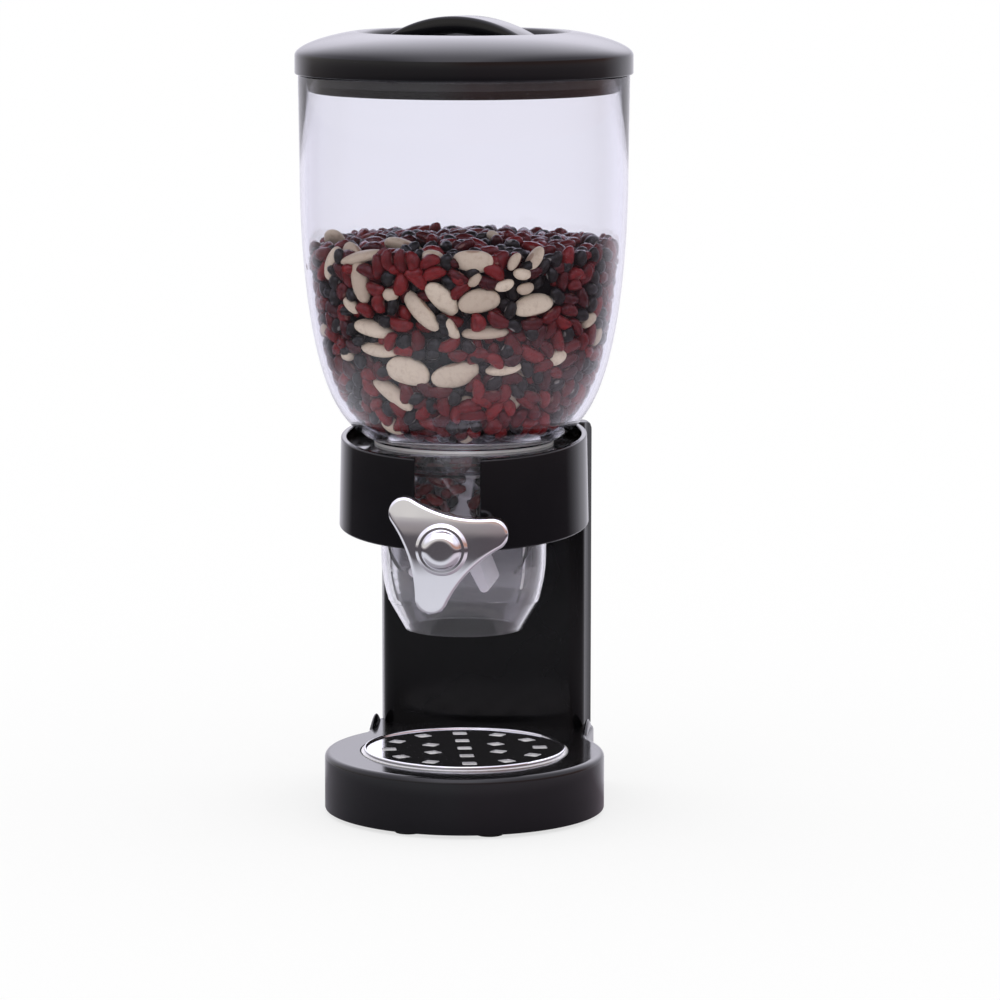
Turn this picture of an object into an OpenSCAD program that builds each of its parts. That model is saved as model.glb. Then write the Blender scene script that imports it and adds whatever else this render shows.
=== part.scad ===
// Gravity dispenser for dry food: a clear bin over a paddle chamber, held by a ring on a column.
// Millimetres, +Z up, front towards -Y, origin on the table under the bin's axis.

/* [Base] */
// radius of the round front of the base
base_r = 74; // [64:0.5:90]
// distance of the base's round centre behind the bin's axis
base_y = 2; // [0:0.5:8]
// height of the base housing without its feet
base_h = 30; // [24:0.5:45]
// half width of the straight tail that carries the column
tail_half = 60; // [59:0.5:64]
// rounding of the base's upper edge
base_edge = 3; // [1:0.25:5]
// rounding of the tail's back corners, seen from above
tail_corner = 7; // [4:0.5:12]
// wall thickness of the base housing
base_wall = 2.6; // [1.8:0.1:4]
// thickness of the base's top plate
base_plate = 3.6; // [2.8:0.1:5]
// height of the raised ears beside the column
ear_h = 5.4; // [2:0.2:10]
// thickness of the ears
ear_t = 2.6; // [1.6:0.1:4]
// how far the ears reach in front of the column's face
ear_reach = 22; // [12:0.5:30]
// thickness of the cover under the base
cover_t = 2; // [1.5:0.1:4]
// height of the rubber feet
foot_h = 2; // [1:0.25:5]
// radius of the rubber feet
foot_r = 7; // [4:0.25:9]

/* [Tray and grille] */
// radius of the bright grille plate
grille_r = 53.4; // [46:0.2:58]
// thickness of the grille plate
grille_t = 1; // [0.6:0.1:2]
// height of the rolled rim over the grille plate
rim_rise = 1; // [0.4:0.1:3]
// width of the rolled rim
rim_w = 1.5; // [1:0.1:3]
// side of each square hole
hole_side = 7.6; // [4:0.2:9]
// corner rounding of each square hole
hole_corner = 1.4; // [0.5:0.1:2]
// radius of the inner ring of holes
hole_ring_in = 20; // [17:0.5:24]
// radius of the outer ring of holes
hole_ring_out = 40; // [36:0.5:44]
// depth of the tray below its flange
tray_depth = 7; // [5:0.25:18]
// wall thickness of the tray
tray_wall = 1.2; // [0.8:0.1:2]
// width of the seat under the grille's edge
tray_seat = 1.4; // [0.8:0.1:3]
// how far the tray's flange stands out beyond the grille
tray_lip = 1.3; // [0.8:0.1:2.5]
// slope at the foot of the tray's wall
tray_edge = 2; // [1:0.25:4]

/* [Column] */
// where the column's front face stands behind the bin's axis
col_front_y = 71; // [69:0.5:76]
// depth of the column from its front face to its back cover
col_depth = 17; // [14:0.5:24]
// half width of the column's front face
col_front_half = 53; // [44:0.5:54]
// half width of the column at its back
col_back_half = 58; // [54:0.5:59]
// rounding of the column's front edges
col_edge = 8; // [3:0.5:9]
// height of the column's horns over the table
col_top = 199; // [190:0.5:203]
// rounding of the horns
horn_r = 5; // [2:0.5:8]
// depth of the scoop between the horns
scoop_depth = 12; // [8:0.5:15]
// wall thickness of the column
col_wall = 2.6; // [1.8:0.1:4]
// thickness of the column's back cover
back_t = 2.4; // [1.6:0.1:4]

/* [Holder ring] */
// outer radius of the ring at its upper edge
ring_r_top = 64.5; // [63:0.25:67]
// outer radius of the ring at its lower edge
ring_r_bottom = 65.5; // [63:0.25:68]
// height of the ring's wall
ring_h = 47; // [36:0.5:52]
// height of the ring's middle over the table
ring_mid_z = 178; // [174:0.5:182]
// slope of the ring's two edges down to the front, in degrees
ring_slope = 5; // [0:0.5:7]
// inner radius of the ring
ring_bore = 61.5; // [60:0.25:62.5]
// thickness of the ledge that carries the chamber
ledge_t = 4; // [2.5:0.25:6]
// inner radius of the ledge
ledge_bore = 55; // [51:0.5:58]
// width of the slot at the front
slot_w = 34; // [26:0.5:40]
// half width of the bracket between ring and column
bracket_half = 30; // [24:0.5:36]
// height of that bracket
bracket_h = 24; // [20:0.5:26]
// distance of the bracket's screws from its edges
screw_inset = 5.5; // [4.5:0.25:8]

/* [Chamber] */
// outer radius of the chamber
chamber_r = 43.5; // [42:0.25:46]
// wall thickness of the chamber
chamber_wall = 2.2; // [1.6:0.1:2.6]
// height of the chamber's seat on the ring's ledge
seat_z = 192; // [188:0.5:194]
// thickness of the chamber's flange
flange_t = 5; // [3:0.25:7]
// height where the chamber starts to draw in
draw_z = 138; // [132:0.5:146]
// height of the kink under the draw-in
kink_z = 114; // [110:0.5:118]
// outer radius at the kink
kink_r = 39.8; // [36:0.25:41]
// height of the spout's mouth
mouth_z = 98.5; // [92:0.5:104]
// outer radius of the spout's mouth
mouth_r = 31; // [27:0.5:36]
// thickness of the walls beside the paddle wheel
cheek_t = 1.6; // [1.2:0.1:2.4]
// outer radius of the shaft's sleeve
sleeve_r = 9; // [8:0.25:11]
// where the sleeve ends, in front of the bin's axis
sleeve_front = 64; // [62:0.5:66]

/* [Paddle wheel] */
// height of the shaft over the table
axle_z = 152.5; // [148:0.5:158]
// radius of the shaft
shaft_r = 4; // [3:0.1:4.6]
// radius of the paddle's tips
paddle_r = 34.5; // [30:0.25:34.5]
// half length of the paddle wheel along its shaft
paddle_half = 21.2; // [16:0.2:21.4]
// number of blades
blades = 5; // [3:1:7]
// turn of the first blade, in degrees
blade_turn = 7; // [0:1:71]
// blade thickness at the root
blade_root = 8; // [5:0.2:10]
// blade thickness at the tip
blade_tip = 5; // [3:0.2:6]
// radius of the stiff core under the paddle's skin
core_r = 8.6; // [7:0.2:10]
// thickness of the paddle's skin round the core
skin_t = 2.4; // [1.5:0.1:4]
// gap between the paddle wheel and the walls beside it
cheek_gap = 1.2; // [0.6:0.1:2]
// gap between the blades' tips and the trough
tip_gap = 0.9; // [0.5:0.1:2]
// outer radius of the two bushes
bush_r = 6.4; // [6:0.1:7]

/* [Knob] */
// number of the knob's lobes
lobes = 3; // [2:1:5]
// distance of each lobe's centre from the shaft
lobe_at = 26.4; // [24:0.2:30]
// radius of each lobe
lobe_r = 8.4; // [7:0.2:10]
// least radius between two lobes
valley_r = 18; // [14:0.25:20]
// turn of the first lobe, in degrees
lobe_turn = 17.3; // [-60:0.5:60]
// thickness of the knob's plate
knob_t = 10; // [6:0.25:12]
// step of the knob's softened edges
knob_soft = 1; // [0.4:0.1:1.5]
// length of the knob's collar behind its plate
collar = 6; // [4:0.25:9]
// radius of the raised disc in the knob's middle
boss_r = 13.5; // [11:0.25:15]
// height of that raised disc
boss_h = 1.6; // [0.8:0.1:3]
// radius of the domed cap
cap_r = 10.5; // [8:0.25:12]
// height of the domed cap
cap_h = 4; // [2.5:0.1:5]

/* [Bin] */
// largest outer radius of the bin's bowl
bin_r = 85.6; // [80:0.2:86]
// how far the bin's rim flares out over its bowl
rim_flare = 0.7; // [0:0.1:2]
// height of the bin's rim over the table
rim_z = 390; // [370:1:420]
// height where the bin's bowl starts to curve in
bowl_z = 340; // [320:1:350]
// bluntness of the bowl: lower is squarer
bowl_power = 0.19; // [0.16:0.005:0.24]
// wall thickness of the bin
bin_wall = 2.5; // [1.8:0.1:3.5]
// gap between the neck and the chamber round it
neck_gap = 0.5; // [0.3:0.1:3]
// length of the neck below the bin's foot
neck_len = 12; // [8:0.25:13]
// wall thickness of the neck
neck_wall = 2.4; // [1.6:0.1:3]
// outer radius of the bin's flat foot
foot_ring_r = 47; // [45:0.25:52]
// thickness of the gasket under the bin's foot
gasket_t = 1.2; // [0.8:0.1:2]

/* [Lid] */
// how far the lid stands out over the bin's rim
lid_over = 1.7; // [0.6:0.1:4]
// height of the lid's straight side
lid_side = 9.8; // [6:0.2:14]
// height of the lid's domed shoulder over its side
lid_dome = 12.2; // [8:0.2:16]
// radius of the lip round the finger well
well_r = 57; // [52:0.5:62]
// width of the well's soft wall inside its lip
well_soft = 10; // [6:0.5:16]
// thickness of the lid's wall
lid_wall = 2.4; // [1.8:0.1:3.2]
// height of the well's floor over the bin's rim
well_floor = 4.4; // [3.6:0.1:7]
// radius of the handle's arch
arch_r = 98; // [90:0.5:110]
// height of the arch's top over the lid's lip
arch_rise = 8; // [3:0.25:14]
// thickness of the handle
arch_t = 9; // [6:0.25:11]
// half width of the handle
arch_half = 7.5; // [5:0.5:12]
// turn of the handle from straight across, right end forwards
arch_turn = 30; // [0:1:90]
// thickness of the rib that the plug seats on
rib_t = 2; // [1.2:0.1:3]
// depth of the plug inside the bin's rim
plug_depth = 9.5; // [7.5:0.25:14]
// wall thickness of the plug
plug_wall = 4; // [3.4:0.1:5]
// thickness of the plug's floor
plug_floor = 2; // [1.2:0.1:3]
// how far the seal's groove lies under the rim
seal_drop = 1; // [0.6:0.1:2]
// height of the seal in the plug's groove
seal_h = 4; // [3:0.1:5]
// depth of the seal's groove
groove = 2; // [1.2:0.1:2.5]

/* [Fits] */
// gap between pieces that lift apart
lift_gap = 0.4; // [0.3:0.05:0.8]
// gap between fixed pieces that fit into each other
fit_gap = 0.2; // [0.1:0.05:0.4]
// radial clearance of the shaft in its bushes
run_gap = 0.05; // [0.02:0.01:0.09]
// end play of the shaft and of the paddle wheel
end_gap = 0.4; // [0.3:0.05:0.8]
// radius of the screws' shanks
screw_r = 1.5; // [1.2:0.1:1.8]
// radius of the screws' heads
screw_head_r = 3; // [2.6:0.1:3.4]
// height of the screws' heads
screw_head_h = 1.6; // [1.2:0.1:2]
// depth that each screw reaches into its boss
screw_bite = 8; // [5:0.5:10]
// radius of the bosses that take the screws
post_r = 4; // [3.6:0.1:5]
// gap between the bosses and the walls beside them
post_gap = 2; // [1:0.25:4]

/* [Hidden] */
$fn = 96;
over = 1;
bowl_steps = 26;
draw_steps = 6;
dome_steps = 14;
well_steps = 10;

base_top_z = foot_h + base_h;
back_y = col_front_y + col_depth;
well_z = base_top_z - tray_wall;
tray_flange_r = grille_r + tray_lip;
tray_r = grille_r - tray_seat;
recess_r = tray_flange_r + lift_gap;
front_post = (base_r - base_wall + tray_r + lift_gap) / 2;
post_x = tail_half - base_wall - post_r - post_gap;

col_slope = (col_back_half - col_front_half) / col_depth;
col_lean = sqrt(1 + col_slope * col_slope);
shell_depth = col_depth - back_t;
scoop_half = col_back_half - 1.6 * horn_r;
scoop_r = (scoop_half * scoop_half + scoop_depth * scoop_depth) / (2 * scoop_depth);
scoop_z = col_top - scoop_depth + scoop_r;
col_post_x = col_front_half - col_wall - 2 * post_r;
col_foot_x = col_post_x - 2 * post_r;
col_foot_h = 2 * screw_bite;
col_post_low = base_top_z + col_foot_h + post_r + post_gap;
bracket_z = col_top - scoop_depth - col_wall - bracket_h / 2;
col_post_high = bracket_z - bracket_h / 2 - 3 * post_r;

foot_z = seat_z + flange_t + gasket_t;
flange_r = ring_bore - 2 * lift_gap;
chamber_bore = chamber_r - chamber_wall;
cheek_in = paddle_half + cheek_gap;
cheek_out = cheek_in + cheek_t;
cheek_low = kink_z + chamber_wall;
shelf_z = foot_z - neck_len - gasket_t;
trough_r = paddle_r + tip_gap;
trough_out = trough_r + cheek_t;
trough_angle = 37;
boss_back = chamber_r + cheek_t;
bush_lip = cheek_t;

knob_back = sleeve_front + bush_lip + end_gap + collar;
knob_front = knob_back + knob_t;
shaft_front = knob_front - 2 * knob_soft;
clip_t = 0.25 * shaft_r;
clip_y = boss_back + end_gap;
shaft_back = clip_y + clip_t + 0.65 * shaft_r;

bowl_h = bowl_z - foot_z + 1.8 * gasket_t;
neck_r = chamber_bore - neck_gap;
neck_bore = neck_r - neck_wall;
rim_r = bin_r + rim_flare;
bin_bore = rim_r - bin_wall;

lid_r = rim_r + lid_over;
lip_z = rim_z + lid_side + lid_dome;
arch_top = lip_z + arch_rise;
arch_z = arch_top - arch_r;
floor_z = rim_z + well_floor;
plug_r = bin_bore - 2.5 * lift_gap;
plug_flange_r = lid_r - lid_wall - 3 * fit_gap;
plug_flange_t = well_floor - lid_wall;

// radius of a blunt bowl at height z: it starts at top and closes at top - depth
function bowl(z, r, top, depth) = r * pow(1 - pow((top - z) / depth, 2), bowl_power);

// height where that bowl has come down to the radius wanted
function bowl_at(wanted, r, top, depth) =
    top - depth * sqrt(1 - pow(wanted / r, 1 / bowl_power));

// outer radius of the chamber between the start of its draw-in and its kink
function drawn(z) = chamber_r - (chamber_r - kink_r) * pow((draw_z - z) / (draw_z - kink_z), 2);

// half width of the column at depth y, drawn in by inset
function col_half(y, inset) =
    col_front_half + (y - col_front_y) * col_slope - inset * col_lean;

// height of the lid's shoulder over the side, for a share of the way out from lip to side
function shoulder(share) = lid_dome * pow(1 - pow(share, 1.2), 0.53);

// height of the lid's inner roof at radius r
function roof_at(r) =
    rim_z + lid_side - lid_wall + shoulder((r - well_r) / (lid_r - lid_wall - well_r));

// turns what is drawn flat into pieces along the shaft, from y towards the front
module along_shaft(y) {
    translate([0, y, axle_z])
        rotate([90, 0, 0])
            children();
}

// a screw with its head's underside at the origin and its shank upwards
module screw(len) {
    cylinder(h = len, r = screw_r);
    translate([0, 0, -screw_head_h])
        cylinder(h = screw_head_h, r = screw_head_r);
}

// the base's outline seen from above
module base_plan(inset) {
    half = tail_half - inset;
    corner = tail_corner - inset;
    end = back_y - inset;
    translate([0, base_y])
        circle(r = base_r - inset);
    translate([-half, base_y])
        square([2 * half, end - corner - base_y]);
    translate([corner - half, base_y])
        square([2 * (half - corner), end - base_y]);
    for (side = [-1, 1])
        translate([side * (half - corner), end - corner])
            circle(r = corner);
}

// where the four posts under the base's top plate stand
module at_base_posts() {
    for (side = [-1, 1]) {
        translate([side * front_post * sin(45), base_y - front_post * cos(45), 0])
            children();
        translate([side * post_x, col_front_y - post_r - post_gap, 0])
            children();
    }
}

// where the two screws from the base into the column stand
module at_column_feet() {
    for (side = [-1, 1])
        translate([side * col_foot_x, col_front_y + (shell_depth + col_wall) / 2, 0])
            children();
}

module base_front() {
    translate([0, base_y, foot_h])
        rotate_extrude() {
            square([base_r, base_h - base_edge]);
            square([base_r - base_edge, base_h]);
            translate([base_r - base_edge, base_h - base_edge])
                circle(r = base_edge);
        }
}

module base_tail() {
    intersection() {
        translate([0, 0, foot_h])
            linear_extrude(base_h + over)
                base_plan(0);
        translate([0, back_y + over, foot_h])
            rotate([90, 0, 0])
                linear_extrude(back_y + over - base_y) {
                    translate([-tail_half, 0])
                        square([2 * tail_half, base_h - base_edge]);
                    translate([base_edge - tail_half, 0])
                        square([2 * (tail_half - base_edge), base_h]);
                    for (side = [-1, 1])
                        translate([side * (tail_half - base_edge), base_h - base_edge])
                            circle(r = base_edge);
                }
    }
}

module ears() {
    for (side = [-1, 1])
        translate([side * (tail_half - ear_t / 2 - base_edge / 5) - ear_t / 2, 0, base_top_z])
            rotate([90, 0, 90])
                linear_extrude(ear_t)
                    polygon([
                        [col_front_y - ear_reach, -base_edge],
                        [col_front_y - ear_reach * 0.6, ear_h * 0.55],
                        [col_front_y - ear_reach * 0.27, ear_h],
                        [col_front_y + ear_reach * 0.14, ear_h * 0.9],
                        [col_front_y + ear_reach * 0.36, -base_edge]
                    ]);
}

module base_shell() {
    color([0.09, 0.09, 0.11])
        difference() {
            union() {
                difference() {
                    union() {
                        base_front();
                        base_tail();
                        ears();
                    }
                    translate([0, 0, foot_h - over])
                        linear_extrude(base_h - base_plate + over)
                            base_plan(base_wall);
                }
                translate([0, 0, foot_h + cover_t])
                    at_base_posts()
                        cylinder(h = base_h - base_plate - cover_t + over, r = post_r);
            }
            translate([0, base_y, well_z])
                cylinder(h = base_h, r = recess_r);
            translate([0, base_y, foot_h])
                cylinder(h = base_h, r = tray_r + lift_gap);
            at_base_posts()
                cylinder(h = foot_h + cover_t + screw_bite + over, r = screw_r);
            at_column_feet()
                cylinder(h = base_top_z + over, r = screw_r + fit_gap);
        }
}

module base_cover() {
    color([0.12, 0.12, 0.13])
        difference() {
            translate([0, 0, foot_h])
                linear_extrude(cover_t)
                    base_plan(base_wall + fit_gap);
            at_base_posts()
                cylinder(h = foot_h + cover_t + over, r = screw_r + fit_gap);
            at_base_posts()
                cylinder(h = foot_h + screw_head_h / 2, r = screw_head_r + fit_gap);
        }
}

module rubber_feet() {
    color([0.16, 0.16, 0.16])
        for (side = [-1, 1]) {
            translate([side * front_post * sin(20), base_y - front_post * cos(20), 0])
                cylinder(h = foot_h, r = foot_r);
            translate([side * (post_x - 2 * foot_r), back_y - base_wall - foot_r - post_gap, 0])
                cylinder(h = foot_h, r = foot_r);
        }
}

module base_screws() {
    color([0.7, 0.7, 0.72])
        translate([0, 0, foot_h + screw_head_h / 2])
            at_base_posts() {
                cylinder(h = cover_t - screw_head_h / 2 + screw_bite, r = screw_r);
                translate([0, 0, -screw_head_h / 2])
                    cylinder(h = screw_head_h / 2, r = screw_head_r);
            }
}

// the column's outline seen from above, from its front face back to depth
module column_plan(inset, depth) {
    front = col_front_y + inset;
    edge = max(col_edge - inset, 1);
    cut = edge * tan((90 - atan(col_slope)) / 2);
    half = col_half(front, inset);
    lean = [col_slope, 1] / col_lean;
    tip = [half, front] + cut * lean;
    end = col_half(col_front_y + depth, inset);
    polygon([
        [cut - half, front],
        [half - cut, front],
        [half - cut, front + edge],
        tip,
        [end, col_front_y + depth],
        [-end, col_front_y + depth],
        [-tip[0], tip[1]],
        [cut - half, front + edge]
    ]);
    for (side = [-1, 1])
        translate([side * (half - cut), front + edge])
            circle(r = edge);
}

// the column's outline seen from the front, with its horns and its scoop
module column_face(inset) {
    top = col_top - inset;
    half = col_back_half - inset;
    difference() {
        union() {
            translate([-half, base_top_z])
                square([2 * half, top - horn_r - base_top_z]);
            translate([horn_r - half, base_top_z])
                square([2 * (half - horn_r), top - base_top_z]);
            for (side = [-1, 1])
                translate([side * (half - horn_r), top - horn_r])
                    circle(r = horn_r);
        }
        translate([0, scoop_z])
            circle(r = scoop_r + inset);
    }
}

module column_block(inset, from, depth) {
    intersection() {
        translate([0, 0, base_top_z])
            linear_extrude(col_top)
                column_plan(inset, depth);
        translate([0, col_front_y + depth, 0])
            rotate([90, 0, 0])
                linear_extrude(depth - from)
                    column_face(inset);
    }
}

// where the back cover's four screws stand, drawn along the shaft's direction from y
module at_back_posts(y) {
    for (side = [-1, 1], z = [col_post_low, col_post_high])
        translate([side * col_post_x, y, z])
            rotate([90, 0, 0])
                children();
}

// where the ring's four screws stand, drawn towards the front from y
module at_ring_screws(y) {
    for (side = [-1, 1], row = [-1, 1])
        translate([side * (bracket_half - screw_inset), y, bracket_z + row * (bracket_h / 2 - screw_inset)])
            rotate([90, 0, 0])
                children();
}

module column_front() {
    color([0.1, 0.1, 0.12])
        difference() {
            union() {
                difference() {
                    column_block(0, 0, shell_depth);
                    difference() {
                        column_block(col_wall, 0, shell_depth + over);
                        translate([-col_foot_x, col_front_y, base_top_z - over])
                            cube([2 * col_foot_x, col_depth, col_wall + over]);
                    }
                }
                at_back_posts(col_front_y + shell_depth)
                    cylinder(h = shell_depth - col_wall / 2, r = post_r);
                intersection() {
                    translate([0, 0, base_top_z])
                        at_column_feet()
                            cylinder(h = col_foot_h, r = post_r);
                    column_block(0, 0, shell_depth);
                }
            }
            at_back_posts(col_front_y + shell_depth + over)
                cylinder(h = screw_bite + 2 * over, r = screw_r);
            translate([0, 0, base_top_z - over])
                at_column_feet()
                    cylinder(h = screw_bite + 2 * over, r = screw_r);
            at_ring_screws(col_front_y + shell_depth)
                cylinder(h = shell_depth + over, r = screw_r + fit_gap);
        }
}

module column_back() {
    color([0.08, 0.08, 0.1])
        difference() {
            column_block(0.4, shell_depth, col_depth);
            at_back_posts(back_y + over)
                cylinder(h = back_t + 2 * over, r = screw_r + fit_gap);
            at_back_posts(back_y + over)
                cylinder(h = screw_head_h / 2 + over, r = screw_head_r + fit_gap);
        }
}

module column_screws() {
    color([0.7, 0.7, 0.72])
        translate([0, 0, base_top_z - base_plate])
            at_column_feet()
                screw(base_plate + screw_bite);
}

module back_screws() {
    color([0.7, 0.7, 0.72])
        at_back_posts(back_y - screw_head_h / 2) {
            cylinder(h = back_t - screw_head_h / 2 + screw_bite, r = screw_r);
            translate([0, 0, -screw_head_h / 2])
                cylinder(h = screw_head_h / 2, r = screw_head_r);
        }
}

module holder_ring() {
    tall = 2 * ring_h;
    middle = (ring_r_top + ring_r_bottom) / 2;
    lean = (ring_r_bottom - ring_r_top) / ring_h;
    bracket_from = sqrt(ring_bore * ring_bore - bracket_half * bracket_half);
    color([0.1, 0.1, 0.12])
        difference() {
            union() {
                intersection() {
                    translate([0, 0, ring_mid_z - tall / 2])
                        cylinder(
                            h = tall,
                            r1 = middle + lean * tall / 2,
                            r2 = middle - lean * tall / 2
                        );
                    translate([0, 0, ring_mid_z])
                        rotate([ring_slope, 0, 0])
                            cube([3 * ring_r_bottom, 3 * ring_r_bottom, ring_h], center = true);
                }
                translate([-bracket_half, bracket_from, bracket_z - bracket_h / 2])
                    cube([2 * bracket_half, col_front_y - bracket_from, bracket_h]);
            }
            translate([0, 0, seat_z])
                cylinder(h = tall, r = ring_bore);
            translate([0, 0, ring_mid_z - tall])
                cylinder(h = 2 * tall, r = ledge_bore);
            translate([0, 0, ring_mid_z - tall])
                cylinder(h = seat_z - ledge_t - ring_mid_z + tall, r = ring_bore);
            translate([-slot_w / 2, -2 * ring_bore, ring_mid_z - tall])
                cube([slot_w, 2 * ring_bore, 2 * tall]);
            at_ring_screws(col_front_y + over)
                cylinder(h = screw_bite + 2 * over, r = screw_r);
        }
}

module ring_screws() {
    color([0.7, 0.7, 0.72])
        at_ring_screws(col_front_y + col_wall)
            screw(col_wall + screw_bite);
}

module crumb_tray() {
    floor = well_z - tray_depth;
    color([0.86, 0.86, 0.85])
        translate([0, base_y, 0])
            rotate_extrude()
                polygon([
                    [0, floor],
                    [tray_r - tray_edge, floor],
                    [tray_r, floor + tray_edge],
                    [tray_r, well_z],
                    [tray_flange_r, well_z],
                    [tray_flange_r, well_z + tray_wall],
                    [tray_r - tray_wall, well_z + tray_wall],
                    [tray_r - tray_wall, floor + tray_edge + tray_wall / 2],
                    [tray_r - tray_edge - tray_wall / 2, floor + tray_wall],
                    [0, floor + tray_wall]
                ]);
}

// one square hole with round corners
module square_hole() {
    core = hole_side - 2 * hole_corner;
    square([hole_side, core], center = true);
    square([core, hole_side], center = true);
    for (x = [-1, 1], y = [-1, 1])
        translate([x * core / 2, y * core / 2])
            circle(r = hole_corner);
}

module grille_plate() {
    color([0.78, 0.78, 0.8])
        translate([0, base_y, well_z + tray_wall])
            difference() {
                cylinder(h = grille_t, r = grille_r - rim_w);
                translate([0, 0, -over])
                    linear_extrude(grille_t + 2 * over) {
                        rotate(12)
                            square_hole();
                        for (k = [0 : 5])
                            rotate(41.5 + 60 * k)
                                translate([hole_ring_in, 0])
                                    square_hole();
                        for (k = [0 : 11])
                            rotate(11.7 + 30 * k)
                                translate([hole_ring_out, 0])
                                    square_hole();
                    }
            }
}

module grille_rim() {
    color([0.88, 0.88, 0.9])
        translate([0, base_y, well_z + tray_wall])
            rotate_extrude() {
                translate([grille_r - rim_w, 0])
                    square([rim_w, grille_t + rim_rise - rim_w / 2]);
                translate([grille_r - rim_w / 2, grille_t + rim_rise - rim_w / 2])
                    circle(r = rim_w / 2);
            }
}

module bin() {
    low = foot_z;
    inner_depth = bowl_h - 1.1 * bin_wall;
    meet = bowl_at(foot_ring_r, bin_r, bowl_z, bowl_h);
    bore = bowl_at(neck_bore, bin_r - bin_wall, bowl_z, inner_depth);
    color([0.9, 0.9, 0.95, 0.35])
        rotate_extrude()
            polygon(concat(
                [
                    [neck_bore, low - neck_len],
                    [neck_r, low - neck_len],
                    [neck_r, low],
                    [foot_ring_r, low],
                    [foot_ring_r, meet]
                ],
                [
                    for (k = [1 : bowl_steps])
                        let (z = meet + (bowl_z - meet) * pow(k / bowl_steps, 1.7))
                        [bowl(z, bin_r, bowl_z, bowl_h), z]
                ],
                [[rim_r, rim_z], [bin_bore, rim_z]],
                [
                    for (k = [bowl_steps : -1 : 0])
                        let (z = bore + (bowl_z - bore) * pow(k / bowl_steps, 1.7))
                        [bowl(z, bin_r - bin_wall, bowl_z, inner_depth), z]
                ]
            ));
}

module bin_gasket() {
    color([0.75, 0.75, 0.78])
        translate([0, 0, seat_z + flange_t])
            difference() {
                cylinder(h = gasket_t, r = foot_ring_r);
                translate([0, 0, -over])
                    cylinder(h = gasket_t + 2 * over, r = neck_r + fit_gap);
            }
}

// outer outline of the chamber from the shelf down, drawn in by inset
function chamber_side(inset) = concat(
    [[chamber_r - inset, shelf_z]],
    [
        for (k = [0 : draw_steps])
            let (z = draw_z - (draw_z - kink_z) * k / draw_steps)
            [drawn(z) - inset, z]
    ],
    [[mouth_r - inset, mouth_z]]
);

module chamber_core(inset) {
    rotate_extrude()
        polygon(concat(
            [[0, shelf_z]],
            chamber_side(inset),
            [[0, mouth_z]]
        ));
}

// the two curved walls that the blades sweep along, and the slopes that feed them
module trough_face() {
    lip = [trough_r * cos(trough_angle), trough_r * sin(trough_angle)];
    run = chamber_r - lip[0];
    difference() {
        circle(r = trough_out);
        circle(r = trough_r);
        translate([-chamber_r, lip[1]])
            square([2 * chamber_r, chamber_r]);
        translate([-chamber_r, -lip[1] - chamber_r])
            square([2 * chamber_r, chamber_r]);
    }
    for (side = [-1, 1])
        polygon([
            [side * lip[0], lip[1]],
            [side * (lip[0] + cheek_t), lip[1] - cheek_t],
            [side * (lip[0] + run), lip[1] + run - 2 * cheek_t],
            [side * (lip[0] + run), lip[1] + run]
        ]);
}

module chamber() {
    color([0.88, 0.88, 0.94, 0.4])
        difference() {
            union() {
                rotate_extrude()
                    polygon(concat(
                        [
                            [flange_r, seat_z + flange_t],
                            [flange_r, seat_z],
                            [chamber_r, seat_z]
                        ],
                        [
                            for (k = [0 : draw_steps])
                                let (z = draw_z - (draw_z - kink_z) * k / draw_steps)
                                [drawn(z), z]
                        ],
                        [
                            [mouth_r, mouth_z],
                            [mouth_r - chamber_wall, mouth_z]
                        ],
                        [
                            for (k = [draw_steps : -1 : 0])
                                let (z = draw_z - (draw_z - kink_z) * k / draw_steps)
                                [drawn(z) - chamber_wall, z]
                        ],
                        [[chamber_bore, seat_z + flange_t]]
                    ));
                intersection() {
                    chamber_core(chamber_wall / 2);
                    union() {
                        for (y = [cheek_out, -cheek_in])
                            translate([-chamber_r, y - cheek_t, cheek_low])
                                cube([2 * chamber_r, cheek_t, shelf_z - cheek_low]);
                        for (y = [cheek_in, -cheek_in - chamber_r])
                            translate([-chamber_r, y, shelf_z - cheek_t])
                                cube([2 * chamber_r, chamber_r, cheek_t]);
                        along_shaft(cheek_in + cheek_t / 2)
                            linear_extrude(2 * cheek_in + cheek_t)
                                trough_face();
                    }
                }
                along_shaft(-cheek_in)
                    cylinder(h = sleeve_front - cheek_in, r = sleeve_r);
                along_shaft(boss_back)
                    cylinder(h = boss_back - cheek_in, r = sleeve_r);
            }
            along_shaft(boss_back + over)
                cylinder(h = boss_back + sleeve_front + 2 * over, r = bush_r);
        }
}

module front_bush() {
    color([0.8, 0.8, 0.78])
        difference() {
            union() {
                along_shaft(-cheek_in)
                    cylinder(h = sleeve_front - cheek_in, r = bush_r);
                along_shaft(-sleeve_front)
                    cylinder(h = bush_lip, r = sleeve_r - 0.4);
            }
            along_shaft(0)
                cylinder(h = sleeve_front + bush_lip + over, r = shaft_r + run_gap);
        }
}

module rear_bush() {
    color([0.8, 0.8, 0.78])
        difference() {
            along_shaft(boss_back)
                cylinder(h = boss_back - cheek_in, r = bush_r);
            along_shaft(boss_back + over)
                cylinder(h = boss_back + over, r = shaft_r + run_gap);
        }
}

module drive_shaft() {
    color([0.72, 0.72, 0.74])
        difference() {
            along_shaft(shaft_back)
                cylinder(h = shaft_back + shaft_front, r = shaft_r);
            along_shaft(clip_y + clip_t + fit_gap / 2)
                difference() {
                    cylinder(h = clip_t + fit_gap, r = shaft_r + over);
                    cylinder(h = clip_t + fit_gap, r = shaft_r - 0.8);
                }
            along_shaft(screw_bite - shaft_front)
                cylinder(h = screw_bite + over, r = screw_r);
        }
}

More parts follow.
